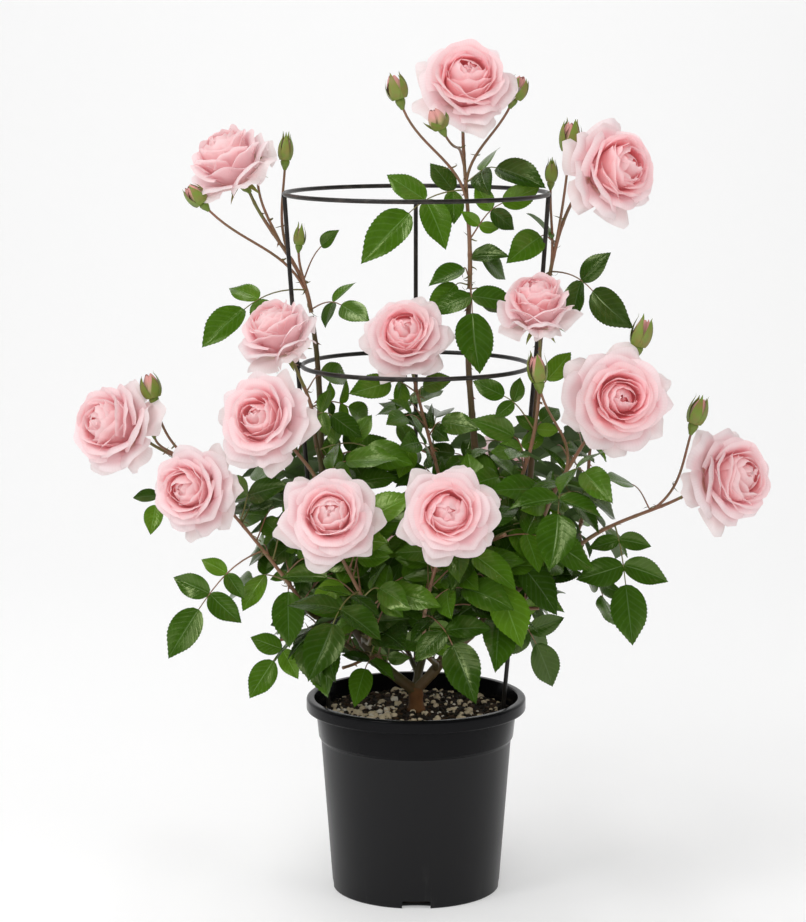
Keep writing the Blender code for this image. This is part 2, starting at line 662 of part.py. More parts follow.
def leaf_solid(rachis, face, plan):
    """One closed shape: a four-edged rachis, open at its side edges into the leaflets."""
    length = sum((b - a).length for a, b in zip(rachis, rachis[1:]))
    foot = PAIR_FOOT / length
    pairs = {place for side, place, _ in plan if side}
    stations = sorted({0, 1} | {place - foot for place in pairs} | {place + foot for place in pairs})
    end_heading = rachis[-1] - rachis[-2]
    points = []
    faces = []
    rings = []
    for place in stations:
        spot, heading = along_path(rachis, place)
        own_face = end_heading.rotation_difference(heading) @ face
        across = heading.cross(own_face)
        rings.append(list(range(len(points), len(points) + 4)))
        points += [spot + arm * RACHIS_RADIUS for arm in (across, own_face, -across, -own_face)]
    opened = set()
    for side, place, (spots, _) in plan:
        edge = list(range(len(points), len(points) + 3))
        points += spots[1:4] if side >= 0 else spots[3:0:-1]
        centres = (len(points), len(points) + 1)
        points += spots[5:7]
        for centre, ridge in zip(centres, (1, 3)):
            if side:
                i = stations.index(place - foot)
                low, high = rings[i], rings[i + 1]
                corner = 1 - side
                opened.add((i, corner))
                loop = [low[corner]] + edge + [high[corner], high[ridge], low[ridge]]
            else:
                last = rings[-1]
                loop = [last[0]] + edge + [last[2], last[ridge]]
            faces += [(a, b, centre) for a, b in zip(loop, loop[1:] + loop[:1])]
    for i, (low, high) in enumerate(zip(rings, rings[1:])):
        for k, corner in enumerate((0, 2, 2, 0)):
            j = (k + 1) % 4
            if (i, corner) not in opened:
                faces.append((low[k], low[j], high[j], high[k]))
    faces.append(tuple(rings[0]))
    return points, faces


def hides_bloom(shape, blooms):
    """Whether a leaflet stands in the open space before a bloom."""
    for centre, size, facing in blooms:
        for way in (facing, (facing + FRONT).normalized()):
            for spot in shape[0]:
                off = spot - centre
                depth = off.dot(way)
                beside = (off - way * depth).length
                if 0 < depth < OPEN_DEPTH * size and beside < OPEN_RADIUS * size:
                    return True
    return False


def in_leafy_part(spot):
    off = spot - LEAFY_CENTRE
    return sum((off[k] / LEAFY_RADII[k]) ** 2 for k in range(3)) < 1


def add_leaf(shoot, leaf, taken, blooms):
    """Fuses on a leaf with those of its leaflets that touch nothing. Says whether it grew."""
    rachis, face, plan = leaf
    own = "leaf %d of %s" % (len(shoot.shapes), shoot.owner)
    stalk = tube(rachis, [RACHIS_RADIUS] * len(rachis), 3)
    if taken.touches(*stalk, but=("stem of " + shoot.owner,)):
        return False
    free = []
    for leaflet in plan:
        shape = leaflet[2]
        if not taken.touches(*shape) and not hides_bloom(shape, blooms):
            free.append(leaflet)
    if len(free) < LEAST_FREE * len(plan) or plan[0] not in free:
        return False
    taken.add(*stalk, own)
    for _, _, shape in free:
        taken.add(*shape, own)
    shoot.shapes.append(leaf_solid(rachis, face, free))
    shoot.leaves += 1
    return True


def grow_by_rule(shoot, count, taken, blooms, dice):
    """Leaves up the stem, each a set turn from the last; one that finds no room is left out."""
    phase = dice.uniform(0, 2 * math.pi)
    for k in range(count):
        low, high = RULE_STRETCH
        share = low + (high - low) * (k + 0.5) / count
        start, heading = along_path(shoot.stem, share)
        side = heading.orthogonal().normalized()
        for attempt in range(TRIES):
            angle = phase + TURN * k + attempt * TRY_TURN
            out = Quaternion(heading, angle) @ side
            size = dice.uniform(*RULE_SIZES)
            reach = size * dice.uniform(*RULE_REACH)
            lift = UP * dice.uniform(*RULE_LIFT)
            tip = start + (out + heading * RULE_AHEAD + lift).normalized() * reach
            outward = Vector((start.x * RULE_SIDEWAYS, start.y, 0)).normalized()
            leaf_face = UP + outward * RULE_OUTWARD
            if not in_leafy_part(tip) or (tip - start).length > REACH:
                continue
            leaf = leaf_plan(start, tip, size, 3, leaf_face, dice)
            if add_leaf(shoot, leaf, taken, blooms):
                break


def grow_shoots(limbs, taken):
    """Every shoot: stems, blooms and buds first, then the leaves round them."""
    shoots = {}
    blooms = []
    for cane, centre, size, facing, _ in BLOOMS:
        shoot = shoots[cane] = Shoot(cane)
        centre, size = Vector(centre) * MM, size * MM
        facing = Vector(facing).normalized()
        blooms.append((centre, size, facing))
        neck = centre - facing * (NECK_SHARE * size)
        grow_stem(shoot, limbs[cane], neck, facing + STEM_RISE * UP)
        grow_bloom(shoot, centre, size, facing)
    for cane, tip, _ in LEAFY:
        shoot = shoots[cane] = Shoot(cane)
        end = Vector(tip) * MM
        grow_stem(shoot, limbs[cane], end, end - limbs[cane][0][-1], LEAFY_STEM_STEPS)
    for cane, share, foot, length, lean in BUDS:
        grow_bud(shoots[cane], share, Vector(foot) * MM, length * MM, Vector(lean))
    for shoot in shoots.values():
        for shape in shoot.shapes:
            taken.add(*shape, "stem of " + shoot.owner)
    for index, (cane, share, tip, size, leaflets, roll) in enumerate(LEAVES):
        start, _ = along_path(shoots[cane].stem, share)
        tip = Vector(tip) * MM
        face = Quaternion((tip - start).normalized(), math.radians(roll)) @ PLACED_FACE
        leaf = leaf_plan(start, tip, size * MM, leaflets, face, random.Random(index))
        add_leaf(shoots[cane], leaf, taken, blooms)
    counts = [(row[0], row[-1]) for row in BLOOMS + LEAFY]
    for index, (cane, count) in enumerate(counts):
        grow_by_rule(shoots[cane], count, taken, blooms, random.Random(100 + index))
    return shoots


def make_shoot(shoot):
    """One solid of all the shoot's shapes, joined by one Boolean."""
    first, *others = shoot.shapes
    body = new_object(shoot.owner, mesh_of(shoot.owner, *first), "shoot")
    group = bpy.data.collections.new("joined")
    bpy.context.scene.collection.children.link(group)
    for shape in others:
        group.objects.link(bpy.data.objects.new("joined", mesh_of("joined", *shape)))
    applied(body, join=group)
    for obj in list(group.objects):
        bpy.data.objects.remove(obj)
    bpy.data.collections.remove(group)
    keep_largest(body.data)


def main():
    for obj in list(bpy.data.objects):
        bpy.data.objects.remove(obj)
    taken = Taken()
    legs = leg_paths()
    made = [make_pot(), make_mix(legs)]
    for name, (radius, height) in (("upper", UPPER_RING), ("lower", LOWER_RING)):
        path = ring_path(radius, height)
        made.append(wire("ring_" + name, path, WIRE_RADIUS, "wire", closed=True))
    for name, path in legs.items():
        made.append(wire("leg_" + name, path, WIRE_RADIUS, "wire"))
    graph = bpy.context.evaluated_depsgraph_get()
    for obj in made:
        mesh = obj.evaluated_get(graph).to_mesh()
        faces = [tuple(face.vertices) for face in mesh.polygons]
        taken.add([vert.co.copy() for vert in mesh.vertices], faces, obj.name)
    limbs = grow_canes()
    make_canes(limbs, taken)
    for shoot in grow_shoots(limbs, taken).values():
        make_shoot(shoot)


main()
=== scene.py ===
"""The looks of a potted rose bush, grown by the source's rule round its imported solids.

Metres, +Z up, -Y to the front. The canes are barked tubes along the solids' own paths. Each shoot
is grown again by the rule that made its solid, then carried on to finer leaves within its reach.
"""

import math
import random

import bmesh
import bpy
import numpy as np
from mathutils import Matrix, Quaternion, Vector, noise
from mathutils.bvhtree import BVHTree
from mathutils.geometry import interpolate_bezier


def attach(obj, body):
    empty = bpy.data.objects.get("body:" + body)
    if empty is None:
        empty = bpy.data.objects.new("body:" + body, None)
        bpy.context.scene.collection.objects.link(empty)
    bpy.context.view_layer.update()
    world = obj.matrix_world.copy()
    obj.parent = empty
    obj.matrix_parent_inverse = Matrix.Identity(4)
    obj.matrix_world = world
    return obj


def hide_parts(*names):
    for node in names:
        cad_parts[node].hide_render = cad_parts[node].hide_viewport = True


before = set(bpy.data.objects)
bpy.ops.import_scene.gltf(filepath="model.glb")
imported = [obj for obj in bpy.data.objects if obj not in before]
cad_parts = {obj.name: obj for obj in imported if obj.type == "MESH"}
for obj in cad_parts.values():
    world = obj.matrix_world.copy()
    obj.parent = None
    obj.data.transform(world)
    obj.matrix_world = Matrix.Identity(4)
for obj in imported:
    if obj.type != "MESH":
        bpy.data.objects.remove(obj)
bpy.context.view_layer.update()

MM = 0.001
GAP = 0.3 * MM
UP = Vector((0, 0, 1))
FRONT = Vector((0, -1, 0))

# ---- sizes shared with the solids

# Pot
POT_HEIGHT = 196 * MM
POT_BASE_RADIUS = 84 * MM
POT_STEP_RADIUS = 95.6 * MM
POT_STEP_HEIGHT = 153.5 * MM
POT_STEP_RISE = 3 * MM
POT_BAND_RADIUS = 97.8 * MM
POT_NECK_RADIUS = 100.4 * MM
POT_RIM_RADIUS = 110 * MM
POT_RIM_DEPTH = 13 * MM
POT_WALL = 2.4 * MM
POT_FLOOR = 3 * MM
NOTCH_SIZE = (28 * MM, 18 * MM, 16 * MM)  # half of it lies inside the wall, half under the foot
MIX_TOP = 180 * MM

# Wire support
WIRE_RADIUS = 2.2 * MM
UPPER_RING = (129 * MM, 699 * MM)
LOWER_RING = (112.5 * MM, 530 * MM)
LEG_FOOT = (79 * MM, 85 * MM)
LEG_AZIMUTHS = {"right": 0, "back": 90, "left": 180}

# Bush
TRUNK_TOP = 205 * MM
TRUNK_RADII = (10.5, 7.6, 6.6, 6.9)
TRUNK_SIDES = 8
CANE_SIDES = 6
CANE_STEP = 70 * MM
CANE_LEAST_STEPS = 6
CANE_RISE = 0.7
CANE_SWELL = 6
CANE_LEAST_SWELL = 1.0
FORK_SHARE = 0.85
STEM_SIDES = 4
STEM_STEPS = 8
LEAFY_STEM_STEPS = 5
STEM_RISE = 0.5
STEM_TIP_RADIUS = 1.5 * MM
STEM_FOOT = 3 * MM
BUD_STEM_RADIUS = 1.2 * MM
BUD_STEM_STEPS = 4
BUD_LEAN = 0.4
BUD_PROFILE = ((0.24, 0.22), (0.192, 0.6), (0, 1))
BUD_FOOT = -0.12
BUD_STEPS = 5
RACHIS_RADIUS = 1.1 * MM
RACHIS_STEPS = 8
LEAFLET_WIDTH = 0.64
LEAFLET_THICKNESS = 1.8 * MM
LEAFLET_DROOP = 0.12
LEAFLET_CUP = 0.08
LEAF_OUTLINE = ((0.0, 0.16), (0.44, 1.0))
PAIR_PLACES = ((0.30, 0.74), (0.76, 0.54))
PAIR_REACH = 0.8
PAIR_SWEEP = (0.15, 0.4)
PAIR_TILT = (-0.25, 0.1)
PAIR_SIZES = (0.92, 1.08)
LEAF_NOD = 0.25
BLOOM_PROFILE = (
    (0.030, -0.06, 0),
    (0.065, 0.02, 0),
    (0.200, 0.11, 0),
    (0.470, 0.23, 0.09),
    (0.330, 0.30, 0.05),
    (0.365, 0.42, -0.09),
    (0.230, 0.37, -0.05),
    (0.235, 0.50, 0.09),
    (0.100, 0.44, 0),
    (0.000, 0.46, 0),
)
BLOOM_STEPS = 10
HIP_SHARE = 0.36
NECK_SHARE = 0.38
OPEN_DEPTH = 1.6
OPEN_RADIUS = 0.52
LEAST_FREE = 0.6
TURN = math.radians(137.5)
ANY_TURN = (0, 6.3)  # radians that a random turn is drawn from
RULE_STRETCH = (0.08, 0.74)
RULE_AHEAD = 0.25
RULE_OUTWARD = 0.9
RULE_SIDEWAYS = 0.4
# Leaves by rule: their size, reach in sizes and lift, how many leaflets, how many tries, share of
# the leafy part's reach, how far they face the front or the back, and how low they go in front
RULE = (((50 * MM, 64 * MM), (1.55, 1.9), (-0.15, 0.35)), 3, 30, 1, 0, 0)
FINE_RULE = (((34 * MM, 50 * MM), (1.5, 2.2), (-0.45, 0.5)), 5, 14, 0.80, 0.9, 300 * MM)
TRY_TURN = 0.9
LEAFY_CENTRE = Vector((5, 5, 338)) * MM
LEAFY_RADII = Vector((215, 240, 155)) * MM
REACH = 135 * MM
PLACED_FACE = FRONT + 0.45 * UP

# Canes: name, what it forks from, where along it, how it leaves, tip (mm), tip radius (mm)
CANES = (
    ("upper_left", "trunk", 0.80, (-0.85, 0.05, 0.55), (-104, 36, 575), 2.3),
    ("top", "trunk", 0.86, (0.70, -0.10, 0.70), (52, -10, 603), 2.3),
    ("back_high", "trunk", 0.84, (0.05, 0.80, 0.60), (56, 100, 336), 2.3),
    ("upper_right", "top", 0.10, (0.85, 0.30, 0.55), (128, 20, 589), 2.1),
    ("mid_left", "upper_left", 0.50, (0.3, -0.8, 0.6), (-100, -60, 484), 1.9),
    ("left", "upper_left", 0.42, (-0.1, -0.8, 0.6), (-91, -80, 409), 2.0),
    ("far_left", "upper_left", 0.30, (-0.8, 0.5, 0.5), (-153, 16, 377), 2.1),
    ("low_left", "upper_left", 0.22, (-0.8, -0.6, 0.5), (-113, -70, 308), 2.0),
    ("skirt_left", "upper_left", 0.13, (-0.8, -0.2, 0.2), (-80, -30, 268), 1.7),
    ("low_front", "upper_left", 0.08, (-0.2, -0.9, 0.5), (-34, -30, 238), 1.6),
    ("front_left", "upper_left", 0.18, (0.0, -0.9, 0.5), (-43, -110, 285), 2.0),
    ("front_right", "top", 0.07, (0.0, -0.9, 0.5), (8, -100, 275), 2.0),
    ("middle", "top", 0.22, (0.1, -0.9, 0.5), (52, -90, 352), 1.8),
    ("centre", "top", 0.36, (-0.5, -0.5, 0.7), (23, -40, 422), 1.7),
    ("mid_right", "top", 0.44, (0.7, -0.6, 0.6), (101, -60, 425), 1.9),
    ("right", "upper_right", 0.24, (0.1, -0.9, 0.5), (121, -80, 387), 2.2),
    ("far_right", "upper_right", 0.22, (0.8, -0.3, 0.5), (147, -20, 338), 2.1),
    ("low_right", "upper_right", 0.12, (0.5, -0.8, 0.3), (74, -70, 296), 1.7),
    ("back_right", "back_high", 0.40, (0.9, 0.1, 0.4), (148, 80, 319), 2.0),
    ("back_left", "back_high", 0.28, (-0.9, 0.3, 0.4), (-88, 80, 319), 2.0),
    ("back_low", "back_high", 0.10, (-0.2, 0.9, 0.4), (-11, 78, 240), 1.8),
)

# Shoots with a bloom: cane, middle of the bloom (mm), its diameter (mm), which way it faces,
# and how many leaves grow by rule
BLOOMS = (
    ("top", (48, -20, 807), 100, (0.05, -0.82, 0.56), 0),
    ("upper_left", (-185, 20, 731), 100, (-0.50, -0.30, 0.80), 0),
    ("upper_right", (192, -20, 723), 100, (0.60, -0.75, 0.25), 0),
    ("mid_left", (-136, -75, 573), 90, (-0.45, -0.35, 0.82), 3),
    ("centre", (-11, -60, 567), 94, (-0.10, -0.85, 0.50), 3),
    ("mid_right", (115, -75, 597), 84, (-0.10, -0.45, 0.88), 3),
    ("right", (193, -110, 512), 112, (0.12, -0.98, 0.12), 5),
    ("far_left", (-302, 0, 470), 106, (-0.62, -0.70, 0.32), 2),
    ("left", (-146, -150, 498), 104, (-0.35, -0.85, 0.35), 5),
    ("low_left", (-217, -100, 422), 98, (-0.45, -0.85, 0.15), 4),
    ("front_left", (-81, -200, 415), 102, (0.00, -0.92, 0.38), 5),
    ("front_right", (28, -220, 420), 100, (0.00, -0.96, 0.25), 5),
    ("far_right", (313, -10, 419), 108, (0.64, -0.72, 0.25), 2),
    ("back_right", (205, 170, 472), 94, (0.45, 0.85, 0.35), 5),
    ("back_left", (-156, 170, 453), 96, (-0.40, 0.88, 0.30), 5),
    ("back_low", (-22, 225, 300), 92, (-0.05, 0.95, 0.30), 5),
    ("back_high", (90, 200, 395), 96, (0.20, 0.90, 0.40), 5),
)

# Leafy shoots with no bloom: cane, tip (mm), how many leaves grow by rule
LEAFY = (
    ("middle", (84, -135, 385), 7),
    ("low_right", (118, -95, 305), 6),
    ("skirt_left", (-136, -45, 262), 6),
    ("low_front", (-72, -68, 240), 3),
)

# Buds: cane, where on the shoot's stem its own stem forks off, its foot (mm), length (mm), lean
BUDS = (
    ("top", 0.42, (-16, -20, 790), 28, (-0.30, 0, 1)),
    ("top", 0.62, (24, -62, 764), 24, (-0.50, -0.2, 1)),
    ("top", 0.52, (94, 0, 790), 27, (0.40, 0, 1)),
    ("upper_left", 0.10, (-209, 8, 688), 26, (-0.60, 0, 0.7)),
    ("upper_left", 0.42, (-130, 48, 728), 26, (0.05, 0, 1)),
    ("upper_left", 0.55, (-157, 34, 716), 24, (0.0, 0.2, 1)),
    ("upper_left", 0.06, (-116, 26, 646), 21, (0.1, 0, 1)),
    ("upper_right", 0.34, (149, 0, 738), 34, (0.1, 0, 1)),
    ("upper_right", 0.20, (133, 32, 708), 22, (0.05, 0, 1)),
    ("right", 0.34, (116, -106, 526), 30, (-0.15, 0, 1)),
    ("right", 0.70, (212, -74, 556), 32, (0.25, 0, 1)),
    ("far_left", 0.55, (-260, 6, 496), 28, (-0.25, 0, 1)),
    ("far_left", 0.66, (-262, 24, 458), 16, (-0.15, 0.1, 1)),
    ("far_right", 0.62, (272, -24, 474), 30, (0.30, 0, 1)),
)

# Leaves with a place: cane, where on the shoot's stem, tip (mm), end leaflet (mm), leaflets, roll
LEAVES = (
    ("top", 0.05, (56, -64, 532), 60, 3, 0),
    ("top", 0.24, (122, 12, 705), 42, 5, 30),
    ("top", 0.50, (-54, -30, 636), 68, 5, 0),
    ("top", 0.54, (125, -30, 713), 57, 3, -20),
    ("top", 0.02, (10, -30, 584), 42, 1, 0),
    ("top", 0.06, (13, -30, 614), 40, 1, 20),
    ("top", 0.15, (92, 20, 614), 42, 1, -20),
    ("top", 0.10, (86, -30, 643), 38, 1, -20),
    ("top", 0.00, (85, 0, 579), 36, 1, 0),
    ("upper_left", 0.16, (-211, -10, 552), 56, 3, 20),
    ("upper_left", 0.02, (-49, -30, 579), 40, 3, 0),
    ("mid_left", 0.42, (-64, -20, 524), 42, 1, 0),
    ("upper_left", 0.22, (-78, 10, 662), 26, 1, 0),
    ("upper_right", 0.20, (203, -50, 571), 56, 3, 35),
    ("upper_right", 0.40, (90, -30, 639), 52, 3, 0),
    ("mid_left", 0.15, (-44, 5, 473), 40, 5, 0),
    ("mid_left", 0.04, (-54, -80, 470), 36, 3, 0),
    ("far_left", 0.70, (-263, -30, 367), 32, 3, 0),
    ("low_left", 0.42, (-242, -100, 258), 56, 5, 0),
    ("low_left", 0.14, (-125, -104, 269), 54, 1, 0),
    ("skirt_left", 0.50, (-165, -60, 208), 44, 5, 0),
    ("front_left", 0.40, (-97, -240, 270), 64, 5, 0),
    ("front_right", 0.20, (54, -220, 248), 62, 5, 0),
    ("centre", 0.62, (-62, -60, 510), 44, 3, 0),
    ("centre", 0.58, (33, -40, 522), 32, 1, 0),
    ("centre", 0.36, (-27, -100, 487), 34, 3, 0),
    ("centre", 0.30, (58, -70, 479), 42, 3, 0),
    ("centre", 0.10, (-14, -105, 469), 38, 3, 0),
    ("mid_right", 0.12, (55, -70, 489), 44, 3, 0),
    ("mid_right", 0.34, (54, -60, 522), 34, 3, 0),
    ("mid_right", 0.24, (140, -30, 493), 34, 3, 0),
    ("mid_right", 0.52, (152, -50, 548), 38, 1, 0),
    ("mid_right", 0.05, (92, -145, 462), 40, 3, 0),
    ("right", 0.10, (74, -120, 427), 50, 3, 0),
    ("right", 0.30, (128, -190, 363), 64, 5, 0),
    ("right", 0.34, (182, -150, 422), 50, 3, 0),
    ("far_right", 0.36, (213, -50, 259), 60, 5, 0),
    ("far_right", 0.60, (186, -30, 425), 40, 1, 60),
    ("far_right", 0.08, (202, 20, 254), 48, 5, 80),
    ("low_right", 0.40, (138, -70, 221), 50, 5, 0),
    ("low_front", 0.25, (-62, -94, 210), 42, 3, 0),
)

# ---- the source's growth rule


def polar(radius, angle, height):
    return radius * math.cos(angle), radius * math.sin(angle), height


def even(first, last, count):
    """Even steps from one number to another."""
    return [first + (last - first) * (k / (count - 1)) for k in range(count)]


def shares(count):
    return even(0, 1, count)


def spokes(count):
    """Even angles round a circle."""
    return [2 * math.pi * k / count for k in range(count)]


def sleeve(rings, sides, first=0):
    """The quads between rings of corners that follow each other."""
    faces = []
    for i in range(rings - 1):
        low, high = first + i * sides, first + (i + 1) * sides
        for k in range(sides):
            j = (k + 1) % sides
            faces.append((low + k, low + j, high + j, high + k))
    return faces


def turned(profile, steps, axis=UP, at=Vector()):
    """Corners and faces of a turned shape: rows of radius, height and, if any, wave."""
    turn = UP.rotation_difference(axis)
    points = []
    faces = []
    rings = []
    for radius, height, *wave in profile:
        sides = 1 if radius < 1e-9 else steps
        rings.append([len(points) + k % sides for k in range(steps)])
        for k, angle in enumerate(spokes(steps)[:sides]):
            reach = radius * (1 + (wave[0] if wave else 0) * (-1) ** k)
            points.append(at + turn @ Vector(polar(reach, angle, height)))
    for low, high in zip(rings, rings[1:]):
        for k in range(steps):
            j = (k + 1) % steps
            faces.append(tuple(dict.fromkeys((low[k], low[j], high[j], high[k]))))
    return points, faces


def tube(path, radii, sides):
    """Corners and faces of a tube along the path, with a radius for each of its points."""
    points = []
    ahead = (path[1] - path[0]).normalized()
    side = ahead.orthogonal().normalized()
    last = len(path) - 1
    for i, spot in enumerate(path):
        now = (path[min(i + 1, last)] - path[max(i - 1, 0)]).normalized()
        side = ahead.rotation_difference(now) @ side
        ahead = now
        points += [spot + Quaternion(ahead, angle) @ side * radii[i] for angle in spokes(sides)]
    return points, sleeve(len(path), sides)


class Leaflet:
    """One leaflet: where it roots, which way it runs and faces, and its length."""

    def __init__(self, root, along, face, length):
        self.root = root
        self.along = along.normalized()
        self.face = (face - self.along * face.dot(self.along)).normalized()
        self.across = self.along.cross(self.face)
        self.length = length
        self.width = length * LEAFLET_WIDTH

    def spot(self, u, w):
        lift = LEAFLET_CUP * abs(w) * self.width / 2 - LEAFLET_DROOP * u * u * self.length
        flat = self.along * (u * self.length) + self.across * (w * self.width / 2)
        return self.root + flat + self.face * lift

    def solid(self):
        """The plain blade that stands for it in the solids, to test whether it has room."""
        edge = [self.spot(u, w) for u, w in LEAF_OUTLINE] + [self.spot(1, 0)]
        edge += [self.spot(u, -w) for u, w in reversed(LEAF_OUTLINE)]
        half = self.face * (LEAFLET_THICKNESS / 2)
        points = edge + [self.spot(0.45, 0) + half, self.spot(0.45, 0) - half]
        count = len(edge)
        faces = [(k, (k + 1) % count, count) for k in range(count)]
        faces += [((k + 1) % count, k, count + 1) for k in range(count)]
        return points, faces


def sweep(start, leave, end, arrive, steps, pull=0.38):
    """Points of one smooth curve that leaves and arrives in the directions given."""
    reach = (end - start).length * pull
    first = start + leave.normalized() * reach
    second = end - arrive.normalized() * reach
    return interpolate_bezier(start, first, second, end, steps + 1)


def along_path(path, share):
    """The point a share of the way along a path, and the path's direction there."""
    place = share * (len(path) - 1)
    i = min(int(place), len(path) - 2)
    return path[i].lerp(path[i + 1], place - i), (path[i + 1] - path[i]).normalized()


class Taken:
    """The shapes placed so far, for testing whether a new one touches any of them."""

    def __init__(self):
        self.shapes = []

    @staticmethod
    def corners(points):
        low = Vector([min(spot[k] for spot in points) for k in range(3)])
        high = Vector([max(spot[k] for spot in points) for k in range(3)])
        return low, high

    def add(self, points, faces, owner):
        low, high = self.corners(points)
        self.shapes.append((owner, low, high, BVHTree.FromPolygons(points, faces)))

    def touches(self, points, faces, but=()):
        """Whether the shape, grown by a gap all round, meets a shape of another owner."""
        middle = sum(points, Vector()) / len(points)
        grown = [spot + (spot - middle).normalized() * (3 * GAP) for spot in points]
        low, high = self.corners(grown)
        tree = None
        for owner, other_low, other_high, other in self.shapes:
            if owner in but:
                continue
            if any(low[k] > other_high[k] or other_low[k] > high[k] for k in range(3)):
                continue
            tree = tree or BVHTree.FromPolygons(grown, faces)
            if tree.overlap(other):
                return True
        return False


def grow_canes():
    """Path and radii of the trunk and each cane. A cane starts inside what it forks from."""
    foot = MIX_TOP + GAP
    path = [UP * height for height in even(foot, TRUNK_TOP, len(TRUNK_RADII))]
    limbs = {"trunk": (path, [radius * MM for radius in TRUNK_RADII])}
    for name, parent, share, leave, tip, tip_radius in CANES:
        path, radii = limbs[parent]
        start, _ = along_path(path, share)
        thick = radii[0] + (radii[-1] - radii[0]) * share
        end = Vector(tip) * MM
        length = (end - start).length
        steps = CANE_LEAST_STEPS + round(length / CANE_STEP)
        arrive = (end - start).normalized() + CANE_RISE * UP
        curve = sweep(start, Vector(leave), end, arrive, steps)
        swell = CANE_LEAST_SWELL + CANE_SWELL * length
        root = min(thick * FORK_SHARE, (tip_radius + swell) * MM)
        limbs[name] = (curve, even(root, tip_radius * MM, steps + 1))
    return limbs


class Shoot:
    """One shoot: its stem, the stems of its buds, its bloom, its buds and its leaves."""

    def __init__(self, cane):
        self.cane = cane
        self.owner = "shoot_" + cane
        self.stem = []
        self.stem_radii = []
        self.solids = []
        self.bloom = None
        self.buds = []
        self.leaves = []


def grow_stem(shoot, limb, end, arrive, steps=STEM_STEPS):
    path, radii = limb
    heading = (path[-1] - path[-2]).normalized()
    start = path[-1] + heading * GAP
    shoot.stem = sweep(start + heading * STEM_FOOT, heading, end, arrive, steps)
    taper = shoot.stem_radii = even(radii[-1], STEM_TIP_RADIUS, steps + 1)
    shoot.solids.append(tube([start] + shoot.stem, [radii[-1]] + taper, STEM_SIDES))


def grow_bloom(shoot, centre, size, facing):
    foot = centre - facing * (HIP_SHARE * size)
    profile = [(radius * size, height * size, wave) for radius, height, wave in BLOOM_PROFILE]
    shoot.solids.append(turned(profile, BLOOM_STEPS, facing, foot))
    shoot.bloom = (centre, size, facing)


def grow_bud(shoot, share, foot, length, lean):
    start, heading = along_path(shoot.stem, share)
    path = sweep(start, heading + lean * BUD_LEAN, foot, lean, BUD_STEM_STEPS)
    shoot.solids.append(tube(path, [BUD_STEM_RADIUS] * len(path), STEM_SIDES))
    profile = [(BUD_STEM_RADIUS, BUD_FOOT * length)]
    profile += [(radius * length, height * length) for radius, height in BUD_PROFILE]
    shoot.solids.append(turned(profile, BUD_STEPS, lean.normalized(), foot))
    curve = sweep(start, heading + lean * BUD_LEAN, foot, lean, 4 * BUD_STEM_STEPS)
    shoot.buds.append((curve, foot, length, lean.normalized()))


def leaf_plan(start, tip, size, leaflets, face, dice):
    """A compound leaf: the path of its rachis, and its leaflets, the one at the end first."""
    chord = tip - start
    ahead = (chord.normalized() - LEAF_NOD * UP).normalized()
    end = tip - ahead * size
    rachis = sweep(start, chord.normalized() + STEM_RISE * UP, end, ahead, RACHIS_STEPS)
    face = (face - ahead * face.dot(ahead)).normalized()
    plan = [Leaflet(end, ahead, face, size)]
    length = (end - start).length
    for back, share in PAIR_PLACES[:(leaflets - 1) // 2]:
        if back * size > PAIR_REACH * length:
            continue
        spot, heading = along_path(rachis, 1 - back * size / length)
        own_face = ahead.rotation_difference(heading) @ face
        across = heading.cross(own_face)
        for side in (1, -1):
            out = across * side + heading * dice.uniform(*PAIR_SWEEP)
            tilt = own_face + across * side * dice.uniform(*PAIR_TILT)
            own = size * share * dice.uniform(*PAIR_SIZES)
            plan.append(Leaflet(spot, out, tilt, own))
    return rachis, plan


def hides_bloom(points, blooms):
    """Whether a leaflet stands in the open space before a bloom."""
    for centre, size, facing in blooms:
        for way in (facing, (facing + FRONT).normalized()):
            for spot in points:
                off = spot - centre
                depth = off.dot(way)
                beside = (off - way * depth).length
                if 0 < depth < OPEN_DEPTH * size and beside < OPEN_RADIUS * size:
                    return True
    return False


def in_leafy_part(spot, share=1):
    off = spot - LEAFY_CENTRE
    return sum((off[k] / LEAFY_RADII[k]) ** 2 for k in range(3)) < share ** 2


def add_leaf(shoot, leaf, taken, blooms, rooted_in=()):
    """Keeps a leaf with those of its leaflets that touch nothing. Says whether it grew."""
    rachis, plan = leaf
    own = "leaf %d of %s" % (len(shoot.leaves), shoot.owner)
    stalk = tube(rachis, [RACHIS_RADIUS] * len(rachis), 3)
    if taken.touches(*stalk, but=("stem of " + shoot.owner, *rooted_in)):
        return False
    free = []
    for leaflet in plan:
        shape = leaflet.solid()
        if not taken.touches(*shape) and not hides_bloom(shape[0], blooms):
            free.append((leaflet, shape))
    if len(free) < LEAST_FREE * len(plan) or plan[0] is not free[0][0]:
        return False
    taken.add(*stalk, own)
    for _, shape in free:
        taken.add(*shape, own)
    shoot.leaves.append((rachis, [leaflet for leaflet, _ in free]))
    return True


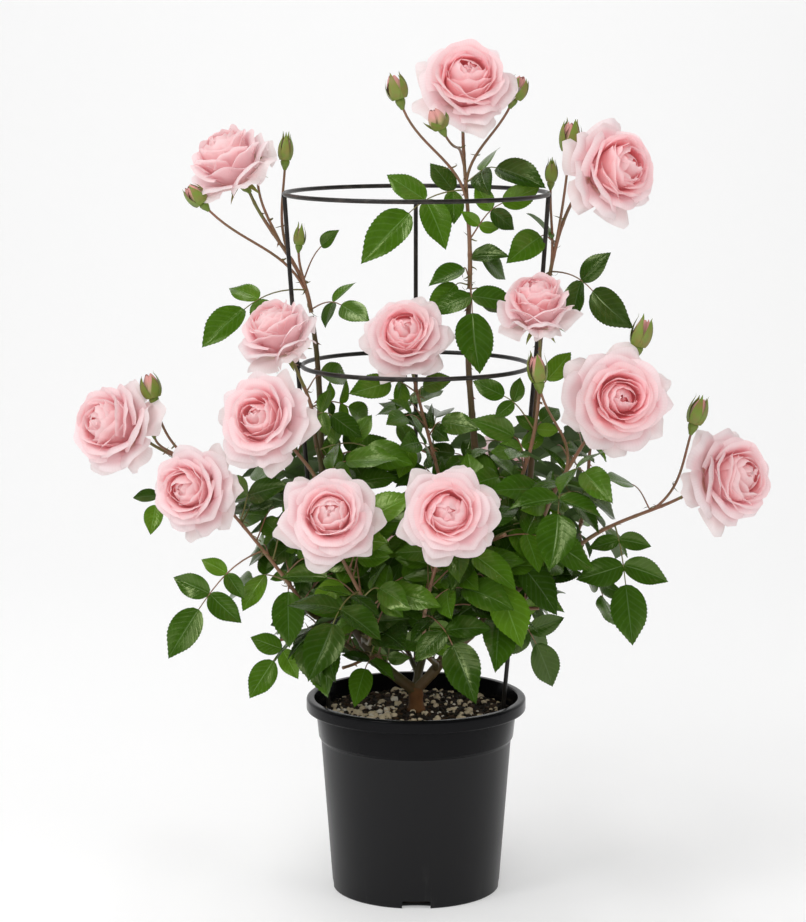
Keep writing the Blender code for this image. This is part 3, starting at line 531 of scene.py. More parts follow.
def seek_leaf(shoot, path, share, phase, rule, taken, blooms, dice, rooted_in=()):
    """A leaf from a place on a path, turned on until it has room, or left out."""
    ranges, leaflets, tries, within, turn, lowest = rule
    start, heading = along_path(path, share)
    side = heading.orthogonal().normalized()
    outward = Vector((start.x * RULE_SIDEWAYS, start.y, 0)).normalized()
    face = UP + outward * RULE_OUTWARD
    face += FRONT * (turn if start.y < LEAFY_CENTRE.y else -turn)
    for attempt in range(tries):
        out = Quaternion(heading, phase + attempt * TRY_TURN) @ side
        size, reach, lift = (dice.uniform(*span) for span in ranges)
        ahead = (out + heading * RULE_AHEAD + UP * lift).normalized()
        tip = start + ahead * (size * reach)
        if not in_leafy_part(tip, within) or (tip - start).length > REACH:
            continue
        if tip.z < lowest and tip.y < LEAFY_CENTRE.y:
            continue
        leaf = leaf_plan(start, tip, size, leaflets, face, dice)
        if add_leaf(shoot, leaf, taken, blooms, rooted_in):
            break


def grow_by_rule(shoot, count, taken, blooms, dice):
    """Leaves up the stem, each a set turn from the last."""
    phase = dice.uniform(0, 2 * math.pi)
    low, high = RULE_STRETCH
    for k in range(count):
        share = low + (high - low) * (k + 0.5) / count
        seek_leaf(shoot, shoot.stem, share, phase + TURN * k, RULE, taken, blooms, dice)


def grow_shoots(limbs, taken):
    """Every shoot of the source: stems, blooms and buds first, then the leaves round them."""
    shoots = {}
    blooms = []
    for cane, centre, size, facing, _ in BLOOMS:
        shoot = shoots[cane] = Shoot(cane)
        centre, size = Vector(centre) * MM, size * MM
        facing = Vector(facing).normalized()
        blooms.append((centre, size, facing))
        neck = centre - facing * (NECK_SHARE * size)
        grow_stem(shoot, limbs[cane], neck, facing + STEM_RISE * UP)
        grow_bloom(shoot, centre, size, facing)
    for cane, tip, _ in LEAFY:
        shoot = shoots[cane] = Shoot(cane)
        end = Vector(tip) * MM
        grow_stem(shoot, limbs[cane], end, end - limbs[cane][0][-1], LEAFY_STEM_STEPS)
    for cane, share, foot, length, lean in BUDS:
        grow_bud(shoots[cane], share, Vector(foot) * MM, length * MM, Vector(lean))
    for shoot in shoots.values():
        for shape in shoot.solids:
            taken.add(*shape, "stem of " + shoot.owner)
    for index, (cane, share, tip, size, leaflets, roll) in enumerate(LEAVES):
        start, _ = along_path(shoots[cane].stem, share)
        tip = Vector(tip) * MM
        face = Quaternion((tip - start).normalized(), math.radians(roll)) @ PLACED_FACE
        leaf = leaf_plan(start, tip, size * MM, leaflets, face, random.Random(index))
        add_leaf(shoots[cane], leaf, taken, blooms)
    counts = [(row[0], row[-1]) for row in BLOOMS + LEAFY]
    for index, (cane, count) in enumerate(counts):
        grow_by_rule(shoots[cane], count, taken, blooms, random.Random(100 + index))
    return shoots, blooms


# ---- the rule carried on

FINE_EACH = 7  # further leaves tried on a shoot's stem
CANE_EACH = 7  # and on the upper part of its cane
CANE_STRETCH = (0.35, 0.97)


def grow_finer(shoot, limb, taken, blooms, dice):
    """Smaller leaves of five leaflets between the source's, on the stem and on its cane."""
    rooted_in = ("cane_" + shoot.cane,)
    stretches = ((shoot.stem, RULE_STRETCH, FINE_EACH), (limb[0], CANE_STRETCH, CANE_EACH))
    for path, (low, high), count in stretches:
        for k in range(count):
            share = low + (high - low) * (k + dice.random()) / count
            seek_leaf(shoot, path, share, TURN * k, FINE_RULE, taken, blooms, dice, rooted_in)


# ---- gathering meshes


class Batch:
    """Many small shapes gathered into one piece, each face with a tint and a place in it."""

    def __init__(self, name, materials, *tints):
        self.name = name
        self.materials = [materials[tint] for tint in tints]
        self.points = []
        self.faces = []
        self.tints = []
        self.places = []
        self.count = 0

    def add(self, points, faces, tint=0, places=None):
        points = np.asarray(points, float)
        if places is None:
            places = np.zeros((len(points), 2))
        self.points.append(points)
        self.faces += [tuple(k + self.count for k in face) for face in faces]
        self.tints += tint if isinstance(tint, list) else [tint] * len(faces)
        self.places.append(places)
        self.count += len(points)

    def piece(self, slot, *nodes):
        mesh = bpy.data.meshes.new(self.name)
        mesh.from_pydata(np.concatenate(self.points), [], self.faces)
        for made in self.materials:
            mesh.materials.append(made)
        mesh.polygons.foreach_set("material_index", self.tints)
        layer = mesh.uv_layers.new(name="place")
        corners = np.empty(len(mesh.loops), int)
        mesh.loops.foreach_get("vertex_index", corners)
        layer.data.foreach_set("uv", np.concatenate(self.places)[corners].ravel())
        mesh.shade_smooth()
        placed(self.name, mesh, slot, *nodes)


def put(name, data):
    """A new object in the scene."""
    made = bpy.data.objects.new(name, data)
    bpy.context.scene.collection.objects.link(made)
    return made


def placed(name, mesh, slot, *nodes):
    """A mesh as a piece that rides with the plant and stands for the nodes, if any."""
    obj = put(name, mesh)
    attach(obj, "root")
    if nodes:
        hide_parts(*nodes)
    return obj


def grid_faces(rows, columns):
    """The quads of a grid whose corners go row by row."""
    faces = []
    for i in range(rows - 1):
        for j in range(columns - 1):
            k = i * columns + j
            faces.append((k, k + 1, k + columns + 1, k + columns))
    return faces


def smooth(x):
    x = np.clip(x, 0, 1)
    return x * x * (3 - 2 * x)


def to_world(local, at, axis, spin=0.0):
    """Local points, with +Z turned to the axis and spun about it, moved to a place."""
    turn = (UP.rotation_difference(axis) @ Quaternion(UP, spin)).to_matrix()
    return local @ np.array(turn).T + np.array(at)


# ---- materials


BLACK = (0, 0, 0)
WHITE = (1, 1, 1)


class Value:
    """An output in a material's shader, which sums and products can be made of."""

    def __init__(self, made, socket):
        self.made = made
        self.socket = socket

    def __add__(self, other):
        return self.made.math("ADD", self, other)

    def __sub__(self, other):
        return self.made.math("SUBTRACT", self, other)

    def __rsub__(self, other):
        return self.made.math("SUBTRACT", other, self)

    def __mul__(self, other):
        return self.made.math("MULTIPLY", self, other)

    def __pow__(self, other):
        return self.made.math("POWER", self, other)

    def __abs__(self):
        return self.made.math("ABSOLUTE", self)


class Material:
    """A material being made: a Principled shader and short ways to add nodes.

    Settings are sockets, with _ for a space, or properties of a node.
    """

    def __init__(self, name, colour, roughness, **settings):
        self.data = bpy.data.materials.new(name)
        self.data.use_nodes = True
        self.tree = self.data.node_tree
        self.shader = self.tree.nodes["Principled BSDF"]
        self.set(self.shader, Base_Color=colour, Roughness=roughness, **settings)

    def give(self, target, value):
        if isinstance(value, Value):
            self.tree.links.new(value.socket, target)
        elif isinstance(value, tuple):
            target.default_value = (*value, 1)[:len(target.default_value)]
        else:
            target.default_value = value

    def set(self, node, **settings):
        for name, value in settings.items():
            target = node.inputs.get(name.replace("_", " "))
            if target is None:
                setattr(node, name, value)
            else:
                self.give(target, value)

    def node(self, kind, **settings):
        made = self.tree.nodes.new("ShaderNode" + kind)
        self.set(made, **settings)
        return made

    def out(self, kind, output=0, **settings):
        return Value(self, self.node(kind, **settings).outputs[output])

    def math(self, operation, *values):
        made = self.node("Math", operation=operation)
        for target, value in zip(made.inputs, values):
            self.give(target, value)
        return Value(self, made.outputs[0])

    def noise(self, scale, detail=2.0, roughness=0.5, stretch=None):
        where = self.out("TexCoord", "Object")
        if stretch:
            where = self.out("Mapping", Vector=where, Scale=stretch)
        return self.out("TexNoise", Vector=where, Scale=scale, Detail=detail, Roughness=roughness)

    def place(self):
        """Across and along, each 0 to 1, of a shape's own grid."""
        where = self.out("UVMap", uv_map="place")
        apart = self.node("SeparateXYZ", Vector=where)
        return Value(self, apart.outputs["X"]), Value(self, apart.outputs["Y"])

    def ramp(self, value, *stops):
        made = self.node("ValToRGB", Fac=value)
        elements = made.color_ramp.elements
        while len(elements) < len(stops):
            elements.new(0.5)
        for element, (position, colour) in zip(elements, stops):
            element.position = position
            element.color = (*colour, 1)
        return Value(self, made.outputs[0])

    def mixed(self, share, first, second):
        made = self.node("Mix", data_type="RGBA")
        for index, value in ((0, share), (6, first), (7, second)):
            self.give(made.inputs[index], value)
        return Value(self, made.outputs[2])

    def colour(self, value):
        self.set(self.shader, Base_Color=value)

    def rough(self, value, low, high):
        self.set(self.shader, Roughness=self.out("MapRange", Value=value, To_Min=low, To_Max=high))

    def bump(self, height, strength, distance):
        made = self.out("Bump", Height=height, Strength=strength, Distance=distance)
        self.set(self.shader, Normal=made)

    def blend(self, share, other):
        """Mixes a share of another shader into the material's own."""
        both = self.node("MixShader")
        for target, value in zip(both.inputs, (share, Value(self, self.shader.outputs[0]), other)):
            self.give(target, value)
        self.tree.links.new(both.outputs[0], self.tree.nodes["Material Output"].inputs["Surface"])


def tinted(colour, change):
    return tuple(min(1, max(0, part * (1 + change))) for part in colour)


LEAF_TINTS = {  # base colour of the upper side, and its gloss
    "leaf_dark": ((0.018, 0.050, 0.002), 0.60),
    "leaf_deep": ((0.029, 0.078, 0.003), 0.70),
    "leaf_mid": ((0.045, 0.112, 0.004), 0.65),
    "leaf_fresh": ((0.070, 0.158, 0.006), 0.60),
    "leaf_glossy": ((0.037, 0.096, 0.004), 0.95),
}
LEAF_SHEEN = (0.86, 1.0, 0.48)  # colour of the gloss on the green below the wax
LEAF_UNDERSIDE = (0.090, 0.155, 0.050)
LEAF_MOTTLE = (-0.28, 0.35)  # how far the green varies
LEAF_ROUGHNESS = (0.19, 0.60)
LEAF_WEIGHTS = (4, 4, 4, 1, 2)  # how often each is drawn
VEIN_PAIRS = 8
VEIN_SLANT = 0.55
VEIN_SHARE = 0.22  # of the midrib's strength
VEIN_SHARPNESS = 12
RIB_SHARPNESS = 34


def leaf_material(name, colour, gloss):
    """A glossy leaflet: paler midrib and veins, quilted between them, dull grey-green below."""
    made = Material(name, colour, 0.36, Specular_IOR_Level=gloss, Specular_Tint=LEAF_SHEEN)
    across, along = made.place()
    off = abs(across - 0.5)
    slant = along - off * VEIN_SLANT
    wave = abs(made.math("COSINE", slant * (VEIN_PAIRS * math.pi))) ** VEIN_SHARPNESS
    rib = made.math("MAXIMUM", 1 - off * RIB_SHARPNESS, 0)
    veins = made.math("MAXIMUM", wave * VEIN_SHARE, rib)
    mottle = made.noise(90, 3, 0.6)
    blotch = made.mixed(mottle, *(tinted(colour, change) for change in LEAF_MOTTLE))
    face = made.mixed(veins * 0.55, blotch, tuple(0.06 + 1.8 * c for c in colour))
    below = made.out("NewGeometry", "Backfacing")
    made.colour(made.mixed(below, face, LEAF_UNDERSIDE))
    made.rough(made.math("MAXIMUM", mottle * 0.3, below), *LEAF_ROUGHNESS)
    made.bump(veins * -1 + made.noise(700, 2, 0.6) * 0.2, 0.5, 0.6 * MM)
    return made.data


PETAL_TINTS = {  # base, blade, rim and strength of the painted glow, from the guard petals in to the heart
    "petal_guard": ((0.91, 0.78, 0.60), (0.94, 0.80, 0.80), (0.97, 0.89, 0.89), 0.01),
    "petal_outer": ((0.93, 0.62, 0.59), (0.95, 0.75, 0.77), (0.98, 0.90, 0.91), 0.02),
    "petal_mid": ((0.94, 0.43, 0.43), (0.96, 0.69, 0.72), (0.99, 0.88, 0.89), 0.04),
    "petal_inner": ((0.94, 0.31, 0.31), (0.96, 0.61, 0.64), (0.99, 0.85, 0.86), 0.05),
    "petal_heart": ((0.94, 0.26, 0.26), (0.96, 0.55, 0.57), (0.99, 0.81, 0.82), 0.055),
    "petal_core": ((0.92, 0.16, 0.17), (0.95, 0.43, 0.46), (0.99, 0.74, 0.76), 0.055),
}
PALE_PETALS = ("petal_guard", "petal_outer", "petal_mid", "petal_inner", "petal_heart")
DEEP_PETALS = ("petal_guard", "petal_outer", "petal_mid", "petal_heart", "petal_core")
DEEP_BLOOMS = ("top", "upper_right", "centre", "mid_right", "right", "front_right")
PETAL_PAINTED_GLOW = (1.0, 0.52, 0.54)  # painted glow, which the petals emit: it stands in for the light scattered inside a packed bloom
PETAL_BACK = (0.96, 0.86, 0.86)  # the paler outer side of every petal
PETAL_LIGHT = 0.50  # share of light that goes through
PETAL_DEPTH = 1.3  # how much that deepens its colour


PETAL_STREAKS = 150  # radians of them across a petal


def petal_material(name, base, blade, rim, glow):
    """A soft petal: deeper at its foot, paler at its rim, faintly veined, letting light through,
    and with a painted glow emitted from it.
    """
    # the emission is painted light: a glow for the light scattered between packed petals
    made = Material(name, blade, 0.55, Specular_IOR_Level=0.25, Sheen_Weight=0.15,
                    Sheen_Roughness=0.5, Emission_Color=PETAL_PAINTED_GLOW, Emission_Strength=glow)
    across, along = made.place()
    along = along + made.noise(60, 2) * 0.12
    graded = made.ramp(along, (0.10, base), (0.58, blade), (0.86, blade), (0.99, rim))
    streak = (made.math("SINE", across * PETAL_STREAKS) + 1) * 0.035
    colour = made.mixed(streak, graded, tinted(blade, -0.2))
    outside = made.out("NewGeometry", "Backfacing")
    colour = made.mixed(outside * 0.5, colour, PETAL_BACK)
    made.colour(colour)
    made.bump(streak + made.noise(220, 2) * 0.3, 0.25, 0.3 * MM)
    deep = made.out("Gamma", Color=colour, Gamma=PETAL_DEPTH)
    made.blend(PETAL_LIGHT, made.out("BsdfTranslucent", Color=deep))
    return made.data


BARK_TINTS = {  # ground colour, second colour, roughness
    "bark_trunk": ((0.215, 0.090, 0.030), (0.095, 0.047, 0.019), 0.75),
    "bark_olive": ((0.085, 0.082, 0.022), (0.098, 0.055, 0.022), 0.50),
    "bark_red": ((0.178, 0.100, 0.050), (0.125, 0.090, 0.037), 0.45),
    "stem_red": ((0.295, 0.135, 0.082), (0.200, 0.122, 0.057), 0.42),
    "stem_green": ((0.170, 0.190, 0.045), (0.200, 0.150, 0.055), 0.45),
}


def bark_material(name, ground, second, roughness):
    """Bark or a stem: patches of a second colour, and long dark grain."""
    made = Material(name, ground, roughness)
    patch = made.ramp(made.noise(38, 4, 0.65), (0.38, BLACK), (0.66, WHITE))
    grain = made.noise(160, 3, 0.6, (1, 1, 0.22))
    made.colour(made.mixed(grain * 0.5, made.mixed(patch, ground, second), tinted(second, -0.55)))
    made.rough(grain, roughness - 0.12, roughness + 0.12)
    made.bump(grain, 0.5, 0.5 * MM)
    return made.data


GREEN_TINTS = {  # first colour, and the one it is flushed with
    "thorn": ((0.230, 0.090, 0.045), (0.140, 0.110, 0.045)),
    "sepal": ((0.165, 0.235, 0.032), (0.250, 0.165, 0.050)),
    "hip": ((0.120, 0.195, 0.022), (0.180, 0.180, 0.035)),
    "stipule": ((0.130, 0.130, 0.035), (0.190, 0.095, 0.050)),
}


def green_material(name, colour, second):
    """Sepals, hips, stipules and other soft green parts, flushed with a second colour."""
    made = Material(name, colour, 0.48)
    flush = made.ramp(made.noise(120, 2), (0.42, BLACK), (0.72, WHITE))
    made.colour(made.mixed(flush * 0.7, colour, second))
    made.rough(made.noise(400, 2), 0.38, 0.58)
    made.bump(made.noise(600, 2), 0.3, 0.3 * MM)
    return made.data


BUD_TINTS = {  # of a closed petal's foot and tip
    "bud_pink": ((0.40, 0.38, 0.15), (0.60, 0.27, 0.24)),
    "bud_green": ((0.20, 0.25, 0.06), (0.36, 0.24, 0.11)),
}


def bud_material(name, foot, tip):
    made = Material(name, tip, 0.5, Sheen_Weight=0.15)
    along = made.place()[1] + made.noise(130, 2) * 0.16
    made.colour(made.ramp(along, (0.40, foot), (0.85, tip)))
    made.bump(made.noise(500, 2), 0.2, 0.3 * MM)
    return made.data


POT_BLACK = (0.0050, 0.0050, 0.0058)
POT_DUST = (0.020, 0.020, 0.020)
DUST_HEIGHT = 60 * MM
DUST_LEAST = 0.06  # share of the dust that lies above that
POT_TINTS = {"pot_plastic": (0.24, 0.28), "pot_rim_plastic": (0.09, 0.14)}  # gloss, least roughness


def pot_material(name, gloss, smoothest):
    """Moulded black plastic: fine texture, faint rubbing and dust near the foot."""
    made = Material(name, POT_BLACK, 0.38, Specular_IOR_Level=gloss)
    rub = made.noise(26, 5, 0.7, (1, 1, 0.35))
    scratch = made.noise(90, 4, 0.8, (1, 1, 0.06))
    marks = made.ramp(rub * scratch, (0.30, BLACK), (0.42, WHITE))
    apart = made.node("SeparateXYZ", Vector=made.out("TexCoord", "Object"))
    low = 1 - Value(made, apart.outputs["Z"]) * (1 / DUST_HEIGHT)
    dust = marks * made.math("MAXIMUM", low, DUST_LEAST)
    made.colour(made.mixed(dust, POT_BLACK, POT_DUST))
    made.rough(rub * 0.7 + dust * 0.5, smoothest, smoothest + 0.22)
    made.bump(made.noise(900, 2, 0.6), 0.22, 0.2 * MM)
    return made.data


def wire_material():
    """Dark brown coated wire, paler where its coat is worn."""
    made = Material("wire_coat", (0.024, 0.020, 0.018), 0.34, Specular_IOR_Level=0.35)
    wear = made.noise(70, 3)
    worn = made.ramp(wear, (0.5, BLACK), (0.8, WHITE))
    made.colour(made.mixed(worn, (0.016, 0.014, 0.012), (0.060, 0.048, 0.040)))
    made.rough(wear, 0.25, 0.5)
    made.bump(made.noise(800, 2), 0.15, 0.2 * MM)
    return made.data


SOIL_TINTS = {  # the two colours that it is mottled with
    "mix": ((0.026, 0.015, 0.009), (0.009, 0.006, 0.004)),
    "crumb_bark": ((0.085, 0.048, 0.026), (0.026, 0.015, 0.009)),
    "crumb_dark": ((0.030, 0.022, 0.016), (0.010, 0.008, 0.006)),
    "crumb_cream": ((0.740, 0.630, 0.450), (0.500, 0.390, 0.250)),
    "crumb_white": ((0.840, 0.790, 0.690), (0.660, 0.590, 0.480)),
}


def soil_material(name, colour, second):
    made = Material(name, colour, 0.9)
    made.colour(made.mixed(made.noise(240, 4, 0.7), colour, second))
    made.rough(made.noise(300, 3), 0.8, 1)
    made.bump(made.noise(420, 5, 0.7), 0.8, 1.2 * MM)
    return made.data


# ---- leaves

LEAF_ROWS = 33
LEAF_ACROSS = np.array((-1, -0.72, -0.36, 0, 0.36, 0.72, 1.0))
LEAF_ALONG = np.linspace(0, 1, LEAF_ROWS)
LEAF_BASE_POWER = 0.60  # how the outline opens from its foot, and closes to its tip
LEAF_TIP_POWER = 0.84
LEAF_TAIL = 0.30  # how much narrower it is drawn towards its tip
LEAF_TAIL_START = 0.62
LEAF_VARIES = {  # what is drawn for each leaflet
    "fold": (0.05, 0.42),
    "bow": (0.6, 1.7),
    "sway": (-0.09, 0.09),
    "wave": (0.006, 0.022),
    "beats": (1.0, 2.2),
    "phase": ANY_TURN,
    "twist": (-0.35, 0.35),
}
TOOTH = 0.022  # of the half width
TOOTH_LEAN = 0.007  # of the length
LEAF_FACES = grid_faces(LEAF_ROWS, len(LEAF_ACROSS))
STALK_SIDES = 5
STALK_RADII = (0.9 * MM, 0.55 * MM)


def leaf_outline():
    """Half widths up a leaflet, 1 at its widest, and the lean of each tooth."""
    opening, closing = LEAF_BASE_POWER, LEAF_TIP_POWER
    widest = opening / (opening + closing)
    most = widest ** opening * (1 - widest) ** closing
    half = LEAF_ALONG ** opening * (1 - LEAF_ALONG) ** closing / most
    half = half * (1 - LEAF_TAIL * smooth((LEAF_ALONG - LEAF_TAIL_START) / (1 - LEAF_TAIL_START)))
    return half, np.where(np.arange(LEAF_ROWS) % 2, -1.0, 1.0)


def leaflet_points(leaflet, dice):
    """A grid over one leaflet: folded on its midrib, bowed, waved, with a toothed edge."""
    half, tooth = leaf_outline()
    across = np.broadcast_to(LEAF_ACROSS, (LEAF_ROWS, len(LEAF_ACROSS)))
    along = np.repeat(LEAF_ALONG[:, None], len(LEAF_ACROSS), 1)
    edge = (np.abs(across) > 0.99) * tooth[:, None]
    wide = leaflet.width / 2 * half[:, None] * (1 + TOOTH * edge)
    long = leaflet.length
    fold, bow, sway, wave, beats, phase, twist = (
        dice.uniform(*span) for span in LEAF_VARIES.values())
    over = np.abs(across)
    lift = wide * (fold * over + 0.22 * over * (1 - over))
    lift -= bow * LEAFLET_DROOP * along ** 2.2 * long
    lift += wave * long * over ** 2 * np.sin(2 * math.pi * beats * along + phase + 1.3 * across)
    lift += twist * along * across * wide
    flat = across * wide * (1 - 0.35 * fold * over) + sway * along ** 2 * long
    ahead = (along + TOOTH_LEAN * edge) * long
    axes = np.array((leaflet.along, leaflet.across, leaflet.face))
    local = np.stack((ahead, flat, lift), -1).reshape(-1, 3)
    places = np.stack((across / 2 + 0.5, along), -1).reshape(-1, 2)
    return local @ axes + np.array(leaflet.root), places


def add_leaf_shapes(leaf, tint, leaves, stalks, dice):
    """The leaf's rachis with its short leaflet stalks, and its leaflets."""
    rachis, leaflets = leaf
    radii = even(*STALK_RADII, len(rachis))
    stalks.add(*tube(rachis, radii, STALK_SIDES), dice.choice((0, 0, 1)))
    for leaflet in leaflets:
        points, places = leaflet_points(leaflet, dice)
        own = tint if dice.random() < 0.75 else dice.randrange(len(LEAF_TINTS))
        leaves.add(points, LEAF_FACES, own, places)


STIPULE_ROWS = 7
STIPULE_LENGTH = (6, 11)  # mm
STIPULE_CURL = (1.2, 2.6)
STIPULE_HALF = 0.9 * MM


def add_stipules(batch, start, heading, dice):
    """Two narrow curled blades where a leaf leaves its stem."""
    heading = heading.normalized()
    out = heading.orthogonal().normalized()
    for side in (1, -1):
        long = dice.uniform(*STIPULE_LENGTH) * MM
        curl = dice.uniform(*STIPULE_CURL)
        across = heading.cross(out).normalized() * side
        points = []
        for share in shares(STIPULE_ROWS):
            ahead = out * math.cos(curl * share) + across * math.sin(curl * share)
            spot = start + heading * (1.5 * MM + 0.2 * share * long) + ahead * (share * long)
            half = STIPULE_HALF * (1 - share) ** 0.6
            points += [spot - heading * half, spot + heading * half]
        batch.add(points, grid_faces(STIPULE_ROWS, 2))


# ---- blooms and buds

PETAL_ROWS = 15
PETAL_COLUMNS = 17
PETAL_FACES = [face[::-1] for face in grid_faces(PETAL_ROWS, PETAL_COLUMNS)]  # inside in front
PETAL_ACROSS, PETAL_ALONG = np.meshgrid(
    np.linspace(-1, 1, PETAL_COLUMNS), 1 - (1 - np.linspace(0, 1, PETAL_ROWS)) ** 1.4)
PETAL_FOOT = -0.29  # height of the petals' feet under the bloom's middle, of its diameter
PROFILE_POINTS = 25
CLOSED_REACH, CLOSED_RISE, CLOSED_TURN = 0.08, 0.10, 26  # what a closed cup changes
LOOSE_REACH, LOOSE_RISE, LOOSE_TURN = 0.05, 0.04, 50  # what a loose heart changes

# A petal by its depth in the bloom, from the guards, 0, to the heart, 1. Lengths are shares of
# the bloom's diameter, and angles are degrees from its axis.
PETAL_DEPTHS = (0.00, 0.18, 0.36, 0.55, 0.72, 0.84, 0.91, 1.00)
PETAL_RULE = {
    "foot": (0.050, 0.046, 0.042, 0.036, 0.026, 0.018, 0.010, 0.004),  # radius of its foot
    "reach": (0.530, 0.475, 0.375, 0.285, 0.200, 0.135, 0.070, -0.035),  # radius of its rim
    "rise": (-0.150, -0.050, 0.070, 0.135, 0.170, 0.195, 0.215, 0.205),  # height of its rim
    "leave": (88, 82, 76, 68, 58, 50, 46, 42),  # angle at its foot
    "arrive": (100, 84, 60, 34, -8, -42, -72, -92),  # angle at its rim
    "spread": (36, 43, 50, 56, 64, 72, 84, 96),  # half its width round the axis
    "lip": (30, 44, 54, 52, 34, 18, 6, 0),  # how far its rim turns out
    "roll": (80, 56, 34, 18, 10, 4, 0, 0),  # how far its corners turn back
    "round": (0.36, 0.32, 0.26, 0.19, 0.15, 0.13, 0.12, 0.12),  # how much shorter its sides are
    "point": (1.15, 1.2, 1.5, 1.9, 2.0, 2.0, 2.0, 2.0),  # 1 for a pointed tip, more for a round one
    "wave": (0.020, 0.016, 0.012, 0.009, 0.006, 0.005, 0.004, 0.003),
}
RINGS = (  # petals in a ring, its outermost and innermost depth
    (6, 0.13, 0.22),
    (6, 0.31, 0.42),
    (6, 0.50, 0.59),
    (5, 0.66, 0.71),
    (5, 0.75, 0.80),
    (4, 0.84, 0.88),
    (3, 0.91, 0.94),
    (3, 0.97, 1.0),
)
TINT_DEPTHS = (0.05, 0.26, 0.48, 0.70)  # where one tint gives way to the next

# How each bloom differs: where its guard petals stand (degrees, 0 to the right and 90 up, seen
# from its front), how closed its cup is, and how loose its heart is
BLOOM_LOOKS = {
    "top": ((205, 285, 5, 150, 80), 0.45, 0.5),
    "upper_left": ((262, 335, 25, 100, 190), 0.6, 0.2),
    "upper_right": ((215, 150, 285, 330, 60), 0.3, 0.4),
    "mid_left": ((0, 325, 265, 180, 90), 0.5, 0.2),
    "centre": ((5, 318, 245, 175, 80), 0.35, 0.3),
    "mid_right": ((215, 300, 10, 160, 80), 1.0, 0.0),
    "right": ((145, 205, 268, 320, 20, 80), 0.0, 1.0),
    "far_left": ((90, 25, 305, 240, 170), 0.5, 0.3),
    "left": ((0, 283, 230, 170, 80), 0.15, 0.6),
    "low_left": ((62, 5, 320, 265, 170), 0.25, 0.5),
    "front_left": ((0, 318, 258, 200, 135, 75), 0.0, 0.3),
    "front_right": ((20, 325, 250, 195, 130, 75), 0.0, 0.0),
    "far_right": ((115, 190, 250, 50, 330), 0.3, 0.5),
}
BLOOM_GROWTH = {"top": 1.08, "upper_right": 1.10, "far_right": 1.05}  # from its neck
PLAIN_LOOK = ((20, 92, 164, 236, 308), 0.25, 0.3)


def petal_profile(foot, reach, rise, leave, arrive):
    """Lengths up a petal's middle and its angle from the axis at each, from foot to rim."""
    start = Vector((foot, PETAL_FOOT))
    end = Vector((reach, rise))
    chord = (end - start).length
    leave, arrive = math.radians(leave), math.radians(arrive)
    first = start + Vector((math.sin(leave), math.cos(leave))) * (0.42 * chord)
    second = end - Vector((math.sin(arrive), math.cos(arrive))) * (0.40 * chord)
    spots = np.array(interpolate_bezier(start, first, second, end, PROFILE_POINTS))[:, :2]
    steps = np.diff(spots, axis=0)
    lengths = np.concatenate(((0,), np.cumsum(np.hypot(*steps.T))))
    angles = np.unwrap(np.arctan2(steps[:, 0], steps[:, 1]))
    middles = (lengths[1:] + lengths[:-1]) / 2
    return lengths, np.interp(lengths, middles, angles)


def petal_points(depth, turn, closed, loose, dice):
    """A grid over one petal, as shares of the bloom's diameter: it follows its profile, turned
    round the axis, with its rim turned out and its corners rolled back."""
    across, along = PETAL_ACROSS, PETAL_ALONG
    over = np.abs(across)
    foot, reach, rise, leave, arrive, spread, lip, roll, shorter, point, wave = (
        float(np.interp(depth, PETAL_DEPTHS, row)) for row in PETAL_RULE.values())
    guard = depth < TINT_DEPTHS[0]
    held = 0 if guard else closed
    heart = float(smooth((depth - 0.6) / 0.4))
    freed = loose * heart
    reach = reach * (1 - CLOSED_REACH * held * (1 - heart)) + LOOSE_REACH * freed
    reach *= dice.uniform(0.965, 1.02)
    rise += CLOSED_RISE * held - LOOSE_RISE * freed + dice.gauss(0, 0.008)
    arrive += LOOSE_TURN * freed - CLOSED_TURN * held * (1 - heart) + dice.gauss(0, 4 + 8 * freed)
    lengths, angles = petal_profile(foot, reach, rise, leave, arrive)
    shortened = shorter * over ** (point * dice.uniform(0.8, 1.3))
    shortened = shortened + 0.018 * np.cos(across * dice.uniform(5, 9) + dice.uniform(0, 6))
    share = along * (1 - shortened)
    angle = np.interp(share * lengths[-1], lengths, angles)
    lip = math.radians(lip * dice.uniform(0.5, 1.3))
    angle = angle + lip * smooth((along - 0.80) / 0.20) * (1 - 0.5 * over)
    corner = smooth((over - 0.18) / 0.82) * smooth((along - 0.45) / 0.55)
    sides = (dice.uniform(0.4, 1.3), dice.uniform(0.4, 1.3))
    angle = angle + math.radians(roll) * corner * np.where(across < 0, *sides)
    step = np.diff(share, axis=0, prepend=0) * lengths[-1]
    radius = foot + np.cumsum(np.sin(angle) * step, 0)
    height = PETAL_FOOT + np.cumsum(np.cos(angle) * step, 0)
    wave *= 1 + 1.2 * freed
    beats, phase = dice.uniform(0.8, 1.7), dice.uniform(*ANY_TURN)
    crimp = wave * along ** 2.5 * np.sin(math.pi * beats * across + phase)
    crimp = crimp + 0.4 * wave * along ** 5 * np.sin(math.pi * 3.7 * across + 2 * phase)
    bowl = 0.05 * over ** 2 * np.sin(math.pi * along) * (1 if guard else 0.3)
    skew = 0.05 + 0.05 * (1 - abs(2 * depth - 1))
    radius = radius * (1 + skew * across * smooth(along * 2)) + crimp * np.cos(angle)
    height = height - crimp * np.sin(angle) + bowl
    waist = (0.22 if guard else 0.06) * smooth((along - 0.5) / 0.5)
    spread = math.radians(spread * dice.uniform(0.92, 1.10))
    angle = turn + spread * (0.80 + 0.20 * smooth(along * 1.8) - waist) * across
    angle = angle + 0.08 * dice.uniform(-1, 1) * along ** 2
    spots = np.stack((radius * np.cos(angle), radius * np.sin(angle), height), -1)
    places = np.stack((across / 2 + 0.5, along), -1)
    return spots.reshape(-1, 3), places.reshape(-1, 2)


def facing_frame(facing):
    """Rows that turn a bloom's own right, up and front to the world's."""
    up = (UP - facing * facing.dot(UP)).normalized()
    return np.array((up.cross(facing), up, facing))


